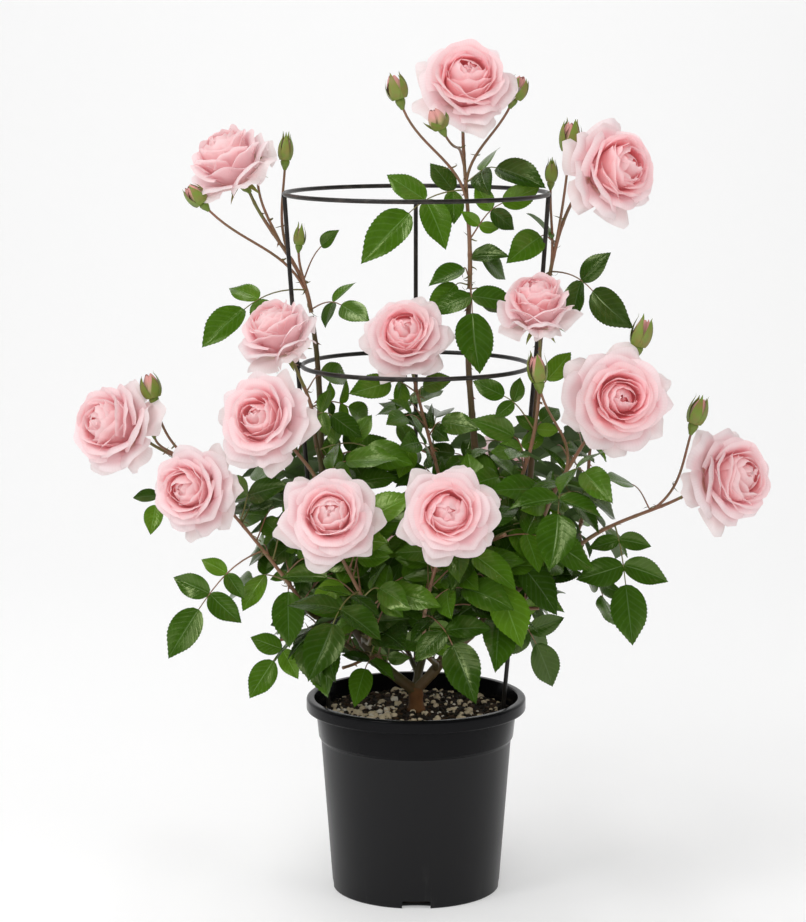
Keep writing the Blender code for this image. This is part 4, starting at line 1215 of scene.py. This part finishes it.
def add_bloom(batch, bloom, look, dice):
    """All the petals of a bloom: the guards where its look says, then a spiral to its heart."""
    centre, size, facing = bloom
    guards, closed, loose = look
    axes = facing_frame(facing)
    petals = [(dice.uniform(0, 0.03), math.radians(place)) for place in guards]
    turn = dice.uniform(*ANY_TURN)
    for count, low, high in RINGS:
        for k in range(count):
            place = turn + 2 * math.pi * k / count + dice.gauss(0, 0.12)
            petals.append((low + (high - low) * k / (count - 1), place))
        turn += math.pi / count + dice.gauss(0, 0.25)
    for depth, place in petals:
        points, places = petal_points(depth, place, closed, loose, dice)
        lean = np.array((dice.gauss(0, 1), dice.gauss(0, 1))) * 0.012
        points[:, :2] += lean * (points[:, 2:] - PETAL_FOOT) * 3
        tint = sum(depth > edge for edge in TINT_DEPTHS)
        batch.add(points @ axes * size + np.array(centre), PETAL_FACES, tint, places)


SEPALS = 5
SEPAL_ROWS = 9
SEPAL_WIDTH = 4.2 * MM
SEPAL_FACES = grid_faces(SEPAL_ROWS, 3)
HIP_PROFILE = ((0.020, -0.41), (0.030, -0.385), (0.052, -0.355), (0.058, -0.325), (0.050, -0.295),
               (0.040, -0.275))
HIP_STEPS = 14


def sepal_points(foot, length, angles, turn):
    """A long pointed sepal from the hip's top, its angle from the axis run from first to last."""
    points = []
    radius, height = foot
    first, last = angles
    for share in shares(SEPAL_ROWS):
        angle = math.radians(first + (last - first) * share ** 0.8)
        half = SEPAL_WIDTH * (0.45 + 1.6 * share) * (1 - share) ** 1.15
        side = min(half / max(radius, 0.2 * length), 0.9)
        for across in (-1, 0, 1):
            reach = radius - (0 if across else 0.12 * half)
            points.append(polar(reach, turn + across * side, height))
        step = length / (SEPAL_ROWS - 1)
        radius += math.sin(angle) * step
        height += math.cos(angle) * step
    return np.array(points)


def scaled(profile, across, along):
    return [(radius * across, height * along) for radius, height in profile]


def add_calyx(batch, bloom, dice):
    """The hip under a bloom and its five sepals, bent back."""
    centre, size, facing = bloom
    batch.add(*turned(scaled(HIP_PROFILE, size, size), HIP_STEPS, facing, centre), 1)
    turn = dice.uniform(*ANY_TURN)
    for angle in spokes(SEPALS):
        own = turn + angle + dice.gauss(0, 0.12)
        angles = (dice.uniform(80, 100), dice.uniform(125, 175))
        length = dice.uniform(20, 27) * MM
        points = sepal_points((0.046 * size, -0.28 * size), length, angles, own)
        batch.add(to_world(points, centre, facing), SEPAL_FACES)


BUD_KINDS = {  # whether it shows colour, how far its sepals stand off, radius, sepals' length
    "closed": (False, 3, 0.27, (0.98, 1.12)),
    "colouring": (True, 5, 0.30, (0.88, 1.05)),
    "opening": (True, 7, 0.34, (0.75, 1.0)),
    "globe": (True, 20, 0.38, (0.42, 0.55)),
    "pointed": (True, 9, 0.29, (0.80, 1.1)),
}
BUD_LOOKS = ("opening", "globe", "opening", "opening", "closed", "closed", "closed", "pointed",
             "closed", "pointed", "pointed", "opening", "closed", "colouring")
BUD_PETAL_ROWS = 9
BUD_PETAL_COLUMNS = 7
BUD_PETAL_FACES = grid_faces(BUD_PETAL_ROWS, BUD_PETAL_COLUMNS)
BUD_PETAL_PLACES = np.array(
    [(across, along) for along in shares(BUD_PETAL_ROWS) for across in shares(BUD_PETAL_COLUMNS)])
BUD_HIP_PROFILE = ((0.5, -0.34), (0.75, -0.26), (1.25, -0.14), (1.45, -0.02), (1.2, 0.06),
                   (0.7, 0.12))
BUD_TWIST = 0.8
BUD_HIP_RADIUS = 0.125  # of the bud's length, where the profile says 1


def bud_belly(level):
    """The radius of a bud at a level from its foot, 0, to its tip, 1."""
    return math.sin(math.pi * min(1, 0.14 + 0.80 * level ** 0.85)) ** 0.62


def bud_petal_points(length, fat, turn, shrink):
    """One petal wrapped half round a pointed bud, twisted towards its tip."""
    rows = []
    for across, share in BUD_PETAL_PLACES:
        across = 2 * across - 1
        lip = 0.05 * length * max(0, share - 0.7) * (1 if across > 0 else 0.2)
        radius = fat * shrink * bud_belly(share) * (1 + 0.07 * across) + lip
        angle = turn + across * 1.25 * (1 - 0.25 * share) + BUD_TWIST * share
        rows.append(polar(radius, angle, share * (1 - 0.16 * across ** 2) * length))
    return np.array(rows)


def add_bud(petals, greens, bud, look, dice):
    """A bud: hip, wrapped petals, and five sepals that hug it and end in free tips."""
    _, foot, length, lean = bud
    colour, stand, fat, reaches = BUD_KINDS[look]
    fat *= length
    profile = scaled(BUD_HIP_PROFILE, BUD_HIP_RADIUS * length, length)
    greens.add(*turned(profile, HIP_STEPS, lean, foot), 1)
    turn = dice.uniform(*ANY_TURN)
    for k in range(5 if colour else 3):
        tall = length * (0.86 if colour else 0.8) * (1 - 0.02 * k)
        points = bud_petal_points(tall, fat, turn + TURN * k, 1 - 0.10 * k)
        points[:, 2] += 0.05 * length
        petals.add(to_world(points, foot, lean), BUD_PETAL_FACES, int(not colour), BUD_PETAL_PLACES)
    for angle in spokes(SEPALS):
        own = turn + angle + dice.gauss(0, 0.1)
        reach = length * dice.uniform(*reaches)
        points = hugging_sepal(reach, length, fat, own, stand * dice.uniform(0.5, 1.5))
        greens.add(to_world(points, foot, lean), SEPAL_FACES)


def hugging_sepal(reach, length, fat, turn, stand):
    """A sepal up the side of a bud, just outside its petals, with a free tip."""
    points = []
    for share in shares(SEPAL_ROWS):
        height = 0.04 * length + share * reach
        belly = bud_belly(min(1, height / (0.9 * length)))
        free = math.tan(math.radians(stand)) * share ** 2 * reach
        radius = max(fat * belly * 1.06, 0.05 * fat) + 0.35 * MM + free
        half = 1.12 * fat * (0.62 + 0.9 * share) * (1 - share) ** 1.25
        side = min(half / max(radius, 0.4 * fat), 0.75)
        points += [polar(radius, turn + across * side, height) for across in (-1, 0, 1)]
    return np.array(points)


# ---- canes, stems and thorns

BARK_SIDES = 12
BARK_STEP = 4 * MM
STEM_BARK_SIDES = 8
RELIEF = 0.10  # of the radius
TRUNK_RELIEF = 0.16
STEM_RELIEF = 0.05
NODE_SPACING = 34 * MM
NODE_SWELL = 0.16
NODE_HALF = 2.2 * MM


def finer(path, spacing):
    """The path again, with points about the spacing apart on a smooth curve through its own."""
    padded = [path[0], *path, path[-1]]
    points = []
    for before, first, last, after in zip(padded, path, path[1:], padded[3:]):
        steps = max(1, round((last - first).length / spacing))
        for t in (k / steps for k in range(steps)):
            square = 2 * before - 5 * first + 4 * last - after
            cube = 3 * first - before - 3 * last + after
            points.append(0.5 * (2 * first + (last - before) * t + square * t * t + cube * t ** 3))
    points.append(path[-1].copy())
    return points


def bark_tube(path, radii, sides, spacing, seed, relief=RELIEF):
    """A tube with long bark ridges, and a swollen ring at each node of the cane."""
    line = finer(path, spacing)
    wide = np.interp(np.linspace(0, len(radii) - 1, len(line)), range(len(radii)), radii)
    points, faces = tube(line, list(wide), sides)
    run = 0.0
    for i, spot in enumerate(line):
        run += (spot - line[i - 1]).length if i else 0
        near = abs((run / NODE_SPACING + seed * 0.37) % 1 - 0.5) * NODE_SPACING
        swell = NODE_SWELL * math.exp(-(near / NODE_HALF) ** 2)
        for k in range(sides):
            ridge = noise.noise(Vector((3.1 * k + seed, run * 60, seed * 1.7)))
            lump = noise.noise(Vector((k * 0.6, run * 25 + 9, seed)))
            grown = 1 + relief * (ridge + 0.8 * lump) + swell
            corner = points[i * sides + k]
            points[i * sides + k] = spot + (corner - spot) * grown
    last = (len(line) - 1) * sides
    faces.append(tuple(range(sides))[::-1])
    faces.append(tuple(range(last, last + sides)))
    return line, wide, points, faces


THORN_SPACING = 19 * MM
THORN_LENGTH = (2.6 * MM, 5.2 * MM)
THORN_SIDES = 5
THORN_ROWS = 5
THORN_HOOK = 0.55  # of its length, down at its tip
THORN_FOOT = 0.42  # of its length, half its foot
THORN_FLAT = 0.42  # of its depth
NECK_STRETCH = 32 * MM  # of a stem that is green, under its bloom


def add_thorns(batch, line, wide, dice, spacing=THORN_SPACING):
    """Hooked thorns along a cane, pointing down, each flat-sided with a broad foot."""
    run = 0.0
    due = dice.uniform(0.3, 1.0) * spacing
    for i in range(1, len(line) - 1):
        run += (line[i] - line[i - 1]).length
        if run < due:
            continue
        due += spacing * dice.uniform(0.5, 1.7)
        heading = (line[i + 1] - line[i - 1]).normalized()
        out = Quaternion(heading, dice.uniform(*ANY_TURN)) @ heading.orthogonal().normalized()
        across = heading.cross(out)
        long = dice.uniform(*THORN_LENGTH)
        root = line[i] + out * (0.8 * wide[i])
        points = []
        for share in shares(THORN_ROWS):
            spot = root + out * (share * long) - heading * (THORN_HOOK * share ** 1.8 * long)
            half = THORN_FOOT * long * (1 - share) ** 1.3 + 0.02 * MM
            for angle in spokes(THORN_SIDES):
                down, side, _ = polar(half, angle, 0)
                points.append(spot + heading * down + across * (THORN_FLAT * side))
        batch.add(points, sleeve(THORN_ROWS, THORN_SIDES))


RED_CANES = ("top", "upper_right", "mid_right", "right", "far_right")


def make_canes(limbs, materials):
    """The trunk and canes as one piece of barked tubes, and their thorns."""
    bark = Batch("canes", materials, "bark_trunk", "bark_olive", "bark_red")
    thorns = Batch("thorns", materials, "thorn")
    for seed, (name, (path, radii)) in enumerate(limbs.items()):
        relief = TRUNK_RELIEF if name == "trunk" else RELIEF
        line, wide, points, faces = bark_tube(path, radii, BARK_SIDES, BARK_STEP, seed, relief)
        bark.add(points, faces, 0 if name == "trunk" else 1 + (name in RED_CANES))
        if name != "trunk":
            add_thorns(thorns, line, wide, random.Random(seed))
    bark.piece("cane", "trunk", *("cane_" + row[0] for row in CANES))
    thorns.piece("cane")


def make_shoots(shoots, materials):
    """Stems, leaves, buds and blooms, each kind gathered apart."""
    stems = Batch("stems", materials, "stem_red", "stem_green")
    leaves = {side: Batch("leaves_" + side, materials, *LEAF_TINTS) for side in ("front", "back")}
    greens = Batch("sepals", materials, "sepal", "hip")
    stipules = Batch("stipules", materials, "stipule")
    bud_petals = Batch("bud_petals", materials, "bud_pink", "bud_green")
    thorns = Batch("stem_thorns", materials, "thorn")
    for seed, shoot in enumerate(shoots.values()):
        dice = random.Random(500 + seed)
        line, wide, points, faces = bark_tube(
            shoot.stem, shoot.stem_radii, STEM_BARK_SIDES, BARK_STEP, seed + 50, STEM_RELIEF)
        neck = round(NECK_STRETCH / BARK_STEP) * STEM_BARK_SIDES if shoot.bloom else 0
        stems.add(points, faces, [0] * (len(faces) - neck) + [1] * neck)
        add_thorns(thorns, line, wide * 0.8, dice, 2 * THORN_SPACING)
        looks = [look for row, look in zip(BUDS, BUD_LOOKS) if row[0] == shoot.cane]
        for bud, look in zip(shoot.buds, looks):
            curve = bud[0]
            radii = even(1.25 * BUD_STEM_RADIUS, BUD_STEM_RADIUS, len(curve))
            stems.add(*tube(curve, radii, STEM_BARK_SIDES))
            add_bud(bud_petals, greens, bud, look, dice)
            add_stipules(stipules, curve[5], curve[1] - curve[0], dice)
        for leaf in shoot.leaves:
            rachis = leaf[0]
            tint = dice.choices(range(len(LEAF_TINTS)), LEAF_WEIGHTS)[0]
            side = "front" if rachis[-1].y < 0 else "back"
            add_leaf_shapes(leaf, tint, leaves[side], stems, dice)
            add_stipules(stipules, rachis[0], rachis[1] - rachis[0], dice)
        if shoot.bloom:
            centre, size, facing = shoot.bloom
            growth = BLOOM_GROWTH.get(shoot.cane, 1)
            bloom = (centre + facing * ((growth - 1) * NECK_SHARE * size), growth * size, facing)
            tints = DEEP_PETALS if shoot.cane in DEEP_BLOOMS else PALE_PETALS
            petals = Batch("bloom_" + shoot.cane, materials, *tints)
            add_bloom(petals, bloom, BLOOM_LOOKS.get(shoot.cane, PLAIN_LOOK), dice)
            add_calyx(greens, bloom, dice)
            petals.piece("shoot", shoot.owner)
    nodes = [shoot.owner for shoot in shoots.values()]
    for batch in (*leaves.values(), stems):
        batch.piece("shoot", *nodes)
    for batch in (greens, stipules, bud_petals, thorns):
        batch.piece("shoot")


# ---- pot, wire and potting mix

POT_STEPS = 160
LIP_ROUND = 2.6 * MM
ARC_STEPS = 6
NOTCH_ROUND = 2.5 * MM
SHARP = math.radians(38)


def arc(centre, radius, first, last, steps=ARC_STEPS):
    """Radius and height along an arc of a profile, from one angle in degrees to another."""
    turns = [polar(radius, math.radians(angle), 0) for angle in even(first, last, steps + 1)]
    return [(centre[0] + x, centre[1] + y) for x, y, _ in turns]


def pot_profile():
    """Up the outside, over the rolled rim and down the inside, worked out in millimetres."""
    top, base, step, rise, band, throat, rim, depth, wall, floor, lip = (size / MM for size in (
        POT_HEIGHT, POT_BASE_RADIUS, POT_STEP_HEIGHT, POT_STEP_RISE, POT_BAND_RADIUS,
        POT_NECK_RADIUS, POT_RIM_RADIUS, POT_RIM_DEPTH, POT_WALL, POT_FLOOR, LIP_ROUND))
    ledge = POT_STEP_RADIUS / MM
    neck = top - depth
    outer = rim - lip
    profile = [
        (0, 1.2), (base - 9, 1.2),
        (base - 6, 0), (base - 6, 0),  # twice, for a crisp edge
        *arc((base - 2, 2), 2, -90, 0),
        (ledge - 0.3, step - 2), (ledge, step),
        (band - 0.8, step + rise - 1.2), (band, step + rise + 0.6),
        (throat, neck - 0.8),
        *arc((throat + 1.2, neck - 0.4), 1.2, 180, 90, 3),
        (outer - 0.8, neck + 0.2),
        *arc((outer + 0.6, neck + 2.2), 2, -90, 0, 4),
        *arc((outer, top - lip), lip, 0, 90),
        *arc((rim - 6.5, top - 1.5), 1.5, 90, 180, 4),
        (throat - wall + 0.4, neck + 2), (throat - wall, neck - 2),
        (ledge - wall, floor + 140), (base - wall, floor), (0, floor),
    ]
    return scaled(profile, MM, MM)


def make_pot():
    """The pot: turned shell, and a notch with rounded corners through each side of its foot."""
    mesh = bpy.data.meshes.new("pot_shell")
    points, faces = turned(pot_profile(), POT_STEPS)
    mesh.from_pydata(points, [], faces)
    pot = placed("pot_shell", mesh, "pot", "pot")
    wide, deep, high = NOTCH_SIZE
    for quarter in range(4):
        bm = bmesh.new()
        bmesh.ops.create_cube(bm)
        for vert in bm.verts:
            x, y, z = vert.co
            vert.co = Vector((x * wide, y * deep - POT_BASE_RADIUS, z * high))
        upper = [edge for edge in bm.edges if edge.verts[0].co.z > 0]
        upright = [edge for edge in upper
                   if abs((edge.verts[0].co - edge.verts[1].co).normalized().y) > 0.9]
        bmesh.ops.bevel(bm, geom=upright, offset=NOTCH_ROUND, segments=4, affect="EDGES",
                        profile=0.5)
        turn = Quaternion(UP, quarter * math.pi / 2).to_matrix()
        bmesh.ops.rotate(bm, verts=bm.verts, matrix=turn)
        cutter_mesh = bpy.data.meshes.new("notch")
        bm.to_mesh(cutter_mesh)
        bm.free()
        cutter = put("notch", cutter_mesh)
        cut = pot.modifiers.new("cut", "BOOLEAN")
        cut.operation = "DIFFERENCE"
        cut.object = cutter
        depsgraph = bpy.context.evaluated_depsgraph_get()
        done = bpy.data.meshes.new_from_object(pot.evaluated_get(depsgraph))
        pot.modifiers.clear()
        pot.data = done
        bpy.data.objects.remove(cutter)
    done.name = "pot_shell"
    done.materials.clear()
    for name, tints in POT_TINTS.items():
        done.materials.append(pot_material(name, *tints))
    for face in done.polygons:
        face.material_index = int(face.center.z > POT_STEP_HEIGHT)
    done.shade_smooth()
    done.set_sharp_from_angle(angle=SHARP)


WIRE_SIDES = 14
RING_STEPS = 120
WELD_RADIUS = 1.45 / 1.4 * WIRE_RADIUS  # before it is stretched
LEG_STEP = 20 * MM


def icosphere(subdivisions, radius):
    """Corners and faces of a ball."""
    bm = bmesh.new()
    bmesh.ops.create_icosphere(bm, subdivisions=subdivisions, radius=radius)
    points = [vert.co.copy() for vert in bm.verts]
    faces = [tuple(vert.index for vert in face.verts) for face in bm.faces]
    bm.free()
    return points, faces


def make_wire(materials):
    """Two rings and three legs of round coated wire, with a small weld where they meet."""
    for name, (radius, height) in (("upper", UPPER_RING), ("lower", LOWER_RING)):
        path = [Vector(polar(radius, angle, height)) for angle in spokes(RING_STEPS)]
        path.append(path[0])
        ring = Batch("ring_%s_wire" % name, materials, "wire")
        points, faces = tube(path, [WIRE_RADIUS] * len(path), WIRE_SIDES)
        wrapped = RING_STEPS * WIRE_SIDES
        ring.add(points[:wrapped], [tuple(k % wrapped for k in face) for face in faces])
        ring.piece("wire", "ring_" + name)
    beside = LOWER_RING[0] + 2 * WIRE_RADIUS + GAP
    under = UPPER_RING[1] - WIRE_RADIUS - 2 * GAP
    welds = (  # radius, height and how far it is stretched out and up
        (beside - WIRE_RADIUS, LOWER_RING[1], 1.9, 1.3),
        (UPPER_RING[0], under + 0.3 * WIRE_RADIUS, 1.3, 1.6),
    )
    ball, ball_faces = icosphere(3, WELD_RADIUS)
    for name, azimuth in LEG_AZIMUTHS.items():
        out = Vector(polar(1, math.radians(azimuth), 0))
        stops = (LEG_FOOT, (beside, LOWER_RING[1]), (UPPER_RING[0], under))
        path = finer([out * radius + UP * height for radius, height in stops], LEG_STEP)
        leg = Batch("leg_%s_wire" % name, materials, "wire")
        leg.add(*tube(path, [WIRE_RADIUS] * len(path), WIRE_SIDES))
        for radius, height, wide, tall in welds:
            middle = out * radius + UP * height
            spots = []
            for corner in ball:
                spot = corner * (1 + 0.10 * noise.noise(corner * 900))
                spots.append(middle + out * (spot.x * wide) + out.cross(UP) * spot.y
                             + UP * (spot.z * tall))
            leg.add(spots, ball_faces)
        leg.piece("wire", "leg_" + name)


MIX_RINGS = 60
MIX_STEPS = 220
MIX_RELIEF = 1.6 * MM
MIX_MOUND = 1.5 * MM
MIX_EDGE = 97.4 * MM
MIX_BODY = (  # radius and height of its side inside the pot, stepped in behind the notches
    (94.5 * MM, MIX_TOP - 14 * MM),
    (91.5 * MM, 142 * MM),
    (80.8 * MM, 14 * MM),
    (74.5 * MM, 12 * MM),
    (74.5 * MM, POT_FLOOR + GAP),
)
CRUMBS = 1900
CRUMBS_CLEAR = 9 * MM  # of the trunk's middle
PALE_CRUMBS = ((-18 * MM, 0, 2.6), (MIX_EDGE, -62 * MM, 1.4))  # left of, before, how many more
PALE_ELSEWHERE = 0.5
CRUMB_KINDS = {  # share, smallest and largest radius in mm, flatness
    "bark": (0.42, 0.9, 3.2, 0.55),
    "dark": (0.34, 0.9, 3.0, 0.75),
    "cream": (0.16, 1.5, 3.9, 0.9),
    "white": (0.08, 1.2, 3.3, 0.95),
}


def mix_height(x, y):
    """Height of the potting mix: a low mound round the trunk, lumpy, lower along the wall."""
    reach = math.hypot(x, y)
    lump = noise.noise(Vector((x * 70, y * 70, 0.3)))
    lump += 0.6 * noise.noise(Vector((x * 190, y * 190, 4)))
    mound = MIX_MOUND * math.exp(-(reach / (30 * MM)) ** 2)
    sunk = MIX_MOUND * float(smooth((reach - 80 * MM) / (16 * MM)))
    return MIX_TOP + MIX_RELIEF * lump + mound - sunk


def make_mix(materials):
    """The mix's lumpy top with its side in the pot, and the crumbs that lie on it."""
    rings = [(MIX_EDGE * i / MIX_RINGS, None) for i in range(1, MIX_RINGS + 1)] + list(MIX_BODY)
    points = [(0, 0, mix_height(0, 0))]
    for reach, height in rings:
        for angle in spokes(MIX_STEPS):
            x, y, _ = polar(reach, angle, 0)
            points.append((x, y, mix_height(x, y) if height is None else height))
    faces = [(0, 1 + k, 1 + (k + 1) % MIX_STEPS) for k in range(MIX_STEPS)]
    faces += [(a, d, c, b) for a, b, c, d in sleeve(len(rings), MIX_STEPS, 1)]
    faces.append(tuple(range(len(points) - MIX_STEPS, len(points)))[::-1])
    top = Batch("mix_surface", materials, "mix")
    top.add(points, faces)
    top.piece("mix", "potting_mix")

    crumbs = Batch("mix_crumbs", materials, *("crumb_" + kind for kind in CRUMB_KINDS))
    ball, ball_faces = icosphere(2, 1)
    dice = random.Random(7)
    kinds = list(CRUMB_KINDS.items())
    for _ in range(CRUMBS):
        reach = (MIX_EDGE - 3 * MM) * math.sqrt(dice.random())
        x, y, _ = polar(reach, dice.uniform(0, 2 * math.pi), 0)
        here = [more for left, front, more in PALE_CRUMBS if x < left and y < front]
        pale = here[0] if here else PALE_ELSEWHERE
        weights = [row[0] * (pale if kind in ("cream", "white") else 1) for kind, row in kinds]
        index = dice.choices(range(len(kinds)), weights)[0]
        _, small, large, flat = kinds[index][1]
        size = (small + (large - small) * dice.random() ** 1.8) * MM
        if reach < CRUMBS_CLEAR + size or reach > MIX_EDGE - size:
            continue
        shift = Vector([dice.uniform(0, 90) for _ in range(3)])
        lumps = np.array([1 + 0.45 * noise.noise(corner * 1.3 + shift) for corner in ball])
        stretch = [dice.uniform(0.8, 1.5), dice.uniform(0.7, 1.1), flat * dice.uniform(0.7, 1.2)]
        local = np.array(ball) * lumps[:, None] * np.array(stretch) * size
        lean = Vector((dice.gauss(0, 0.35), dice.gauss(0, 0.35), 1)).normalized()
        seat = Vector((x, y, mix_height(x, y) + 0.35 * size * flat))
        crumbs.add(to_world(local, seat, lean, dice.uniform(*ANY_TURN)), ball_faces, index)
    crumbs.piece("mix")


# ---- stage, lights and camera

CAMERA_PLACE = Vector((-13.1, -2797, 870.3)) * MM
CAMERA_DOWN = math.radians(8.86)
LENS = 111.46
FLOOR_COLOUR = (0.73, 0.73, 0.73)
FLOOR_GLOW = 0.28  # evens out the light on the backdrop
FLOOR_HALF = 9.0
SWEEP_START = 1.6
SWEEP_RADIUS = 1.8
SWEEP_STEPS = 24
WALL_TOP = 6.0
WORLD_LIGHT = 0.40
WORLD_SHOWN = 0.86  # how bright it looks past the backdrop's edges
LIGHTS = (  # place (m), what it points at (m), size (m), power (W), whether gloss shows it
    ((-1.9, -1.9, 2.5), (0, 0, 0.45), 1.15, 28, True),
    ((-2.6, -0.9, 2.0), (0, 0, 0.45), 1.1, 6.5, True),
    ((2.3, -1.7, 1.4), (0, 0, 0.45), 1.8, 14, False),
    ((-0.3, -3.0, 1.6), (0, 0, 0.45), 2.0, 32, False),
    ((0, 1.6, 2.4), (0, 3.3, 0.8), 2.0, 9, False),
)
STRIP_PLACE = (-0.5, 0.1, 2.8)  # a long light overhead, which runs from front to back
STRIP_SIZE = (0.34, 2.1)
STRIP_TURN = math.radians(-12)  # towards the plant
STRIP_POWER = 16


def make_camera():
    data = bpy.data.cameras.new("camera")
    data.lens = LENS
    data.clip_end = 60
    camera = put("camera", data)
    camera.location = CAMERA_PLACE
    camera.rotation_euler = (math.pi / 2 - CAMERA_DOWN, 0, 0)
    bpy.context.scene.camera = camera


def make_stage():
    """A pale floor that sweeps up into a wall behind, which is clear from its back."""
    rows = [(-FLOOR_HALF, 0.0), (SWEEP_START, 0.0)]
    rows += [(SWEEP_START + y, SWEEP_RADIUS + z)
             for y, z in arc((0, 0), SWEEP_RADIUS, -90, 0, SWEEP_STEPS)[1:]]
    rows.append((SWEEP_START + SWEEP_RADIUS, WALL_TOP))
    points = [Vector((x, y, z)) for y, z in rows for x in (-FLOOR_HALF, FLOOR_HALF)]
    mesh = bpy.data.meshes.new("backdrop")
    mesh.from_pydata(points, [], grid_faces(len(rows), 2))
    mesh.shade_smooth()
    made = Material("backdrop", FLOOR_COLOUR, 0.85, Specular_IOR_Level=0.1,
                    Emission_Color=WHITE, Emission_Strength=FLOOR_GLOW)
    made.blend(made.out("NewGeometry", "Backfacing"), made.out("BsdfTransparent"))
    mesh.materials.append(made.data)
    put("backdrop", mesh)


def add_light(name, size, power):
    """An area light: a disk, or a rectangle where it has two sizes."""
    data = bpy.data.lights.new(name, "AREA")
    data.shape = "RECTANGLE" if isinstance(size, tuple) else "DISK"
    data.size, data.size_y = size if isinstance(size, tuple) else (size, size)
    data.energy = power
    return put(name, data)


def make_lights():
    world = bpy.context.scene.world = bpy.data.worlds.new("studio")
    world.use_nodes = True
    nodes, links = world.node_tree.nodes, world.node_tree.links
    sky = nodes["Background"]
    sky.inputs["Color"].default_value = (*WHITE, 1)
    world.cycles_visibility.glossy = False
    beyond = nodes.new("ShaderNodeMix")
    beyond.inputs[2].default_value = WORLD_LIGHT
    beyond.inputs[3].default_value = WORLD_SHOWN
    links.new(nodes.new("ShaderNodeLightPath").outputs["Is Camera Ray"], beyond.inputs[0])
    links.new(beyond.outputs[0], sky.inputs["Strength"])
    bpy.context.scene.view_settings.view_transform = "Standard"
    for k, (place, aim, size, power, shown) in enumerate(LIGHTS):
        light = add_light("softbox_%d" % k, size, power)
        light.visible_glossy = shown
        light.location = place
        light.rotation_euler = (Vector(aim) - light.location).to_track_quat("-Z", "Y").to_euler()
    strip = add_light("softbox_strip", STRIP_SIZE, STRIP_POWER)
    strip.location = STRIP_PLACE
    strip.rotation_euler = (0, STRIP_TURN, 0)


# ---- the whole


def all_materials():
    made = {"wire": wire_material()}
    for make, tints in ((leaf_material, LEAF_TINTS), (petal_material, PETAL_TINTS),
                        (bark_material, BARK_TINTS), (green_material, GREEN_TINTS),
                        (bud_material, BUD_TINTS), (soil_material, SOIL_TINTS)):
        for name, row in tints.items():
            made[name] = make(name, *row)
    return made


def all_taken(limbs):
    """The pot, the wire and the canes, as the shapes that no leaf may touch."""
    taken = Taken()
    fixed = ["pot", "potting_mix", "ring_upper", "ring_lower"]
    for name in fixed + ["leg_" + name for name in LEG_AZIMUTHS]:
        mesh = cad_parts[name].data
        faces = [tuple(face.vertices) for face in mesh.polygons]
        taken.add([vert.co.copy() for vert in mesh.vertices], faces, name)
    for name, limb in limbs.items():
        sides = TRUNK_SIDES if name == "trunk" else CANE_SIDES
        owner = name if name == "trunk" else "cane_" + name
        taken.add(*tube(*limb, sides), owner)
    return taken


def main():
    make_camera()
    make_stage()
    make_lights()
    materials = all_materials()
    limbs = grow_canes()
    taken = all_taken(limbs)
    shoots, blooms = grow_shoots(limbs, taken)
    for index, shoot in enumerate(shoots.values()):
        grow_finer(shoot, limbs[shoot.cane], taken, blooms, random.Random(900 + index))
    make_canes(limbs, materials)
    make_shoots(shoots, materials)
    make_pot()
    make_wire(materials)
    make_mix(materials)


main()
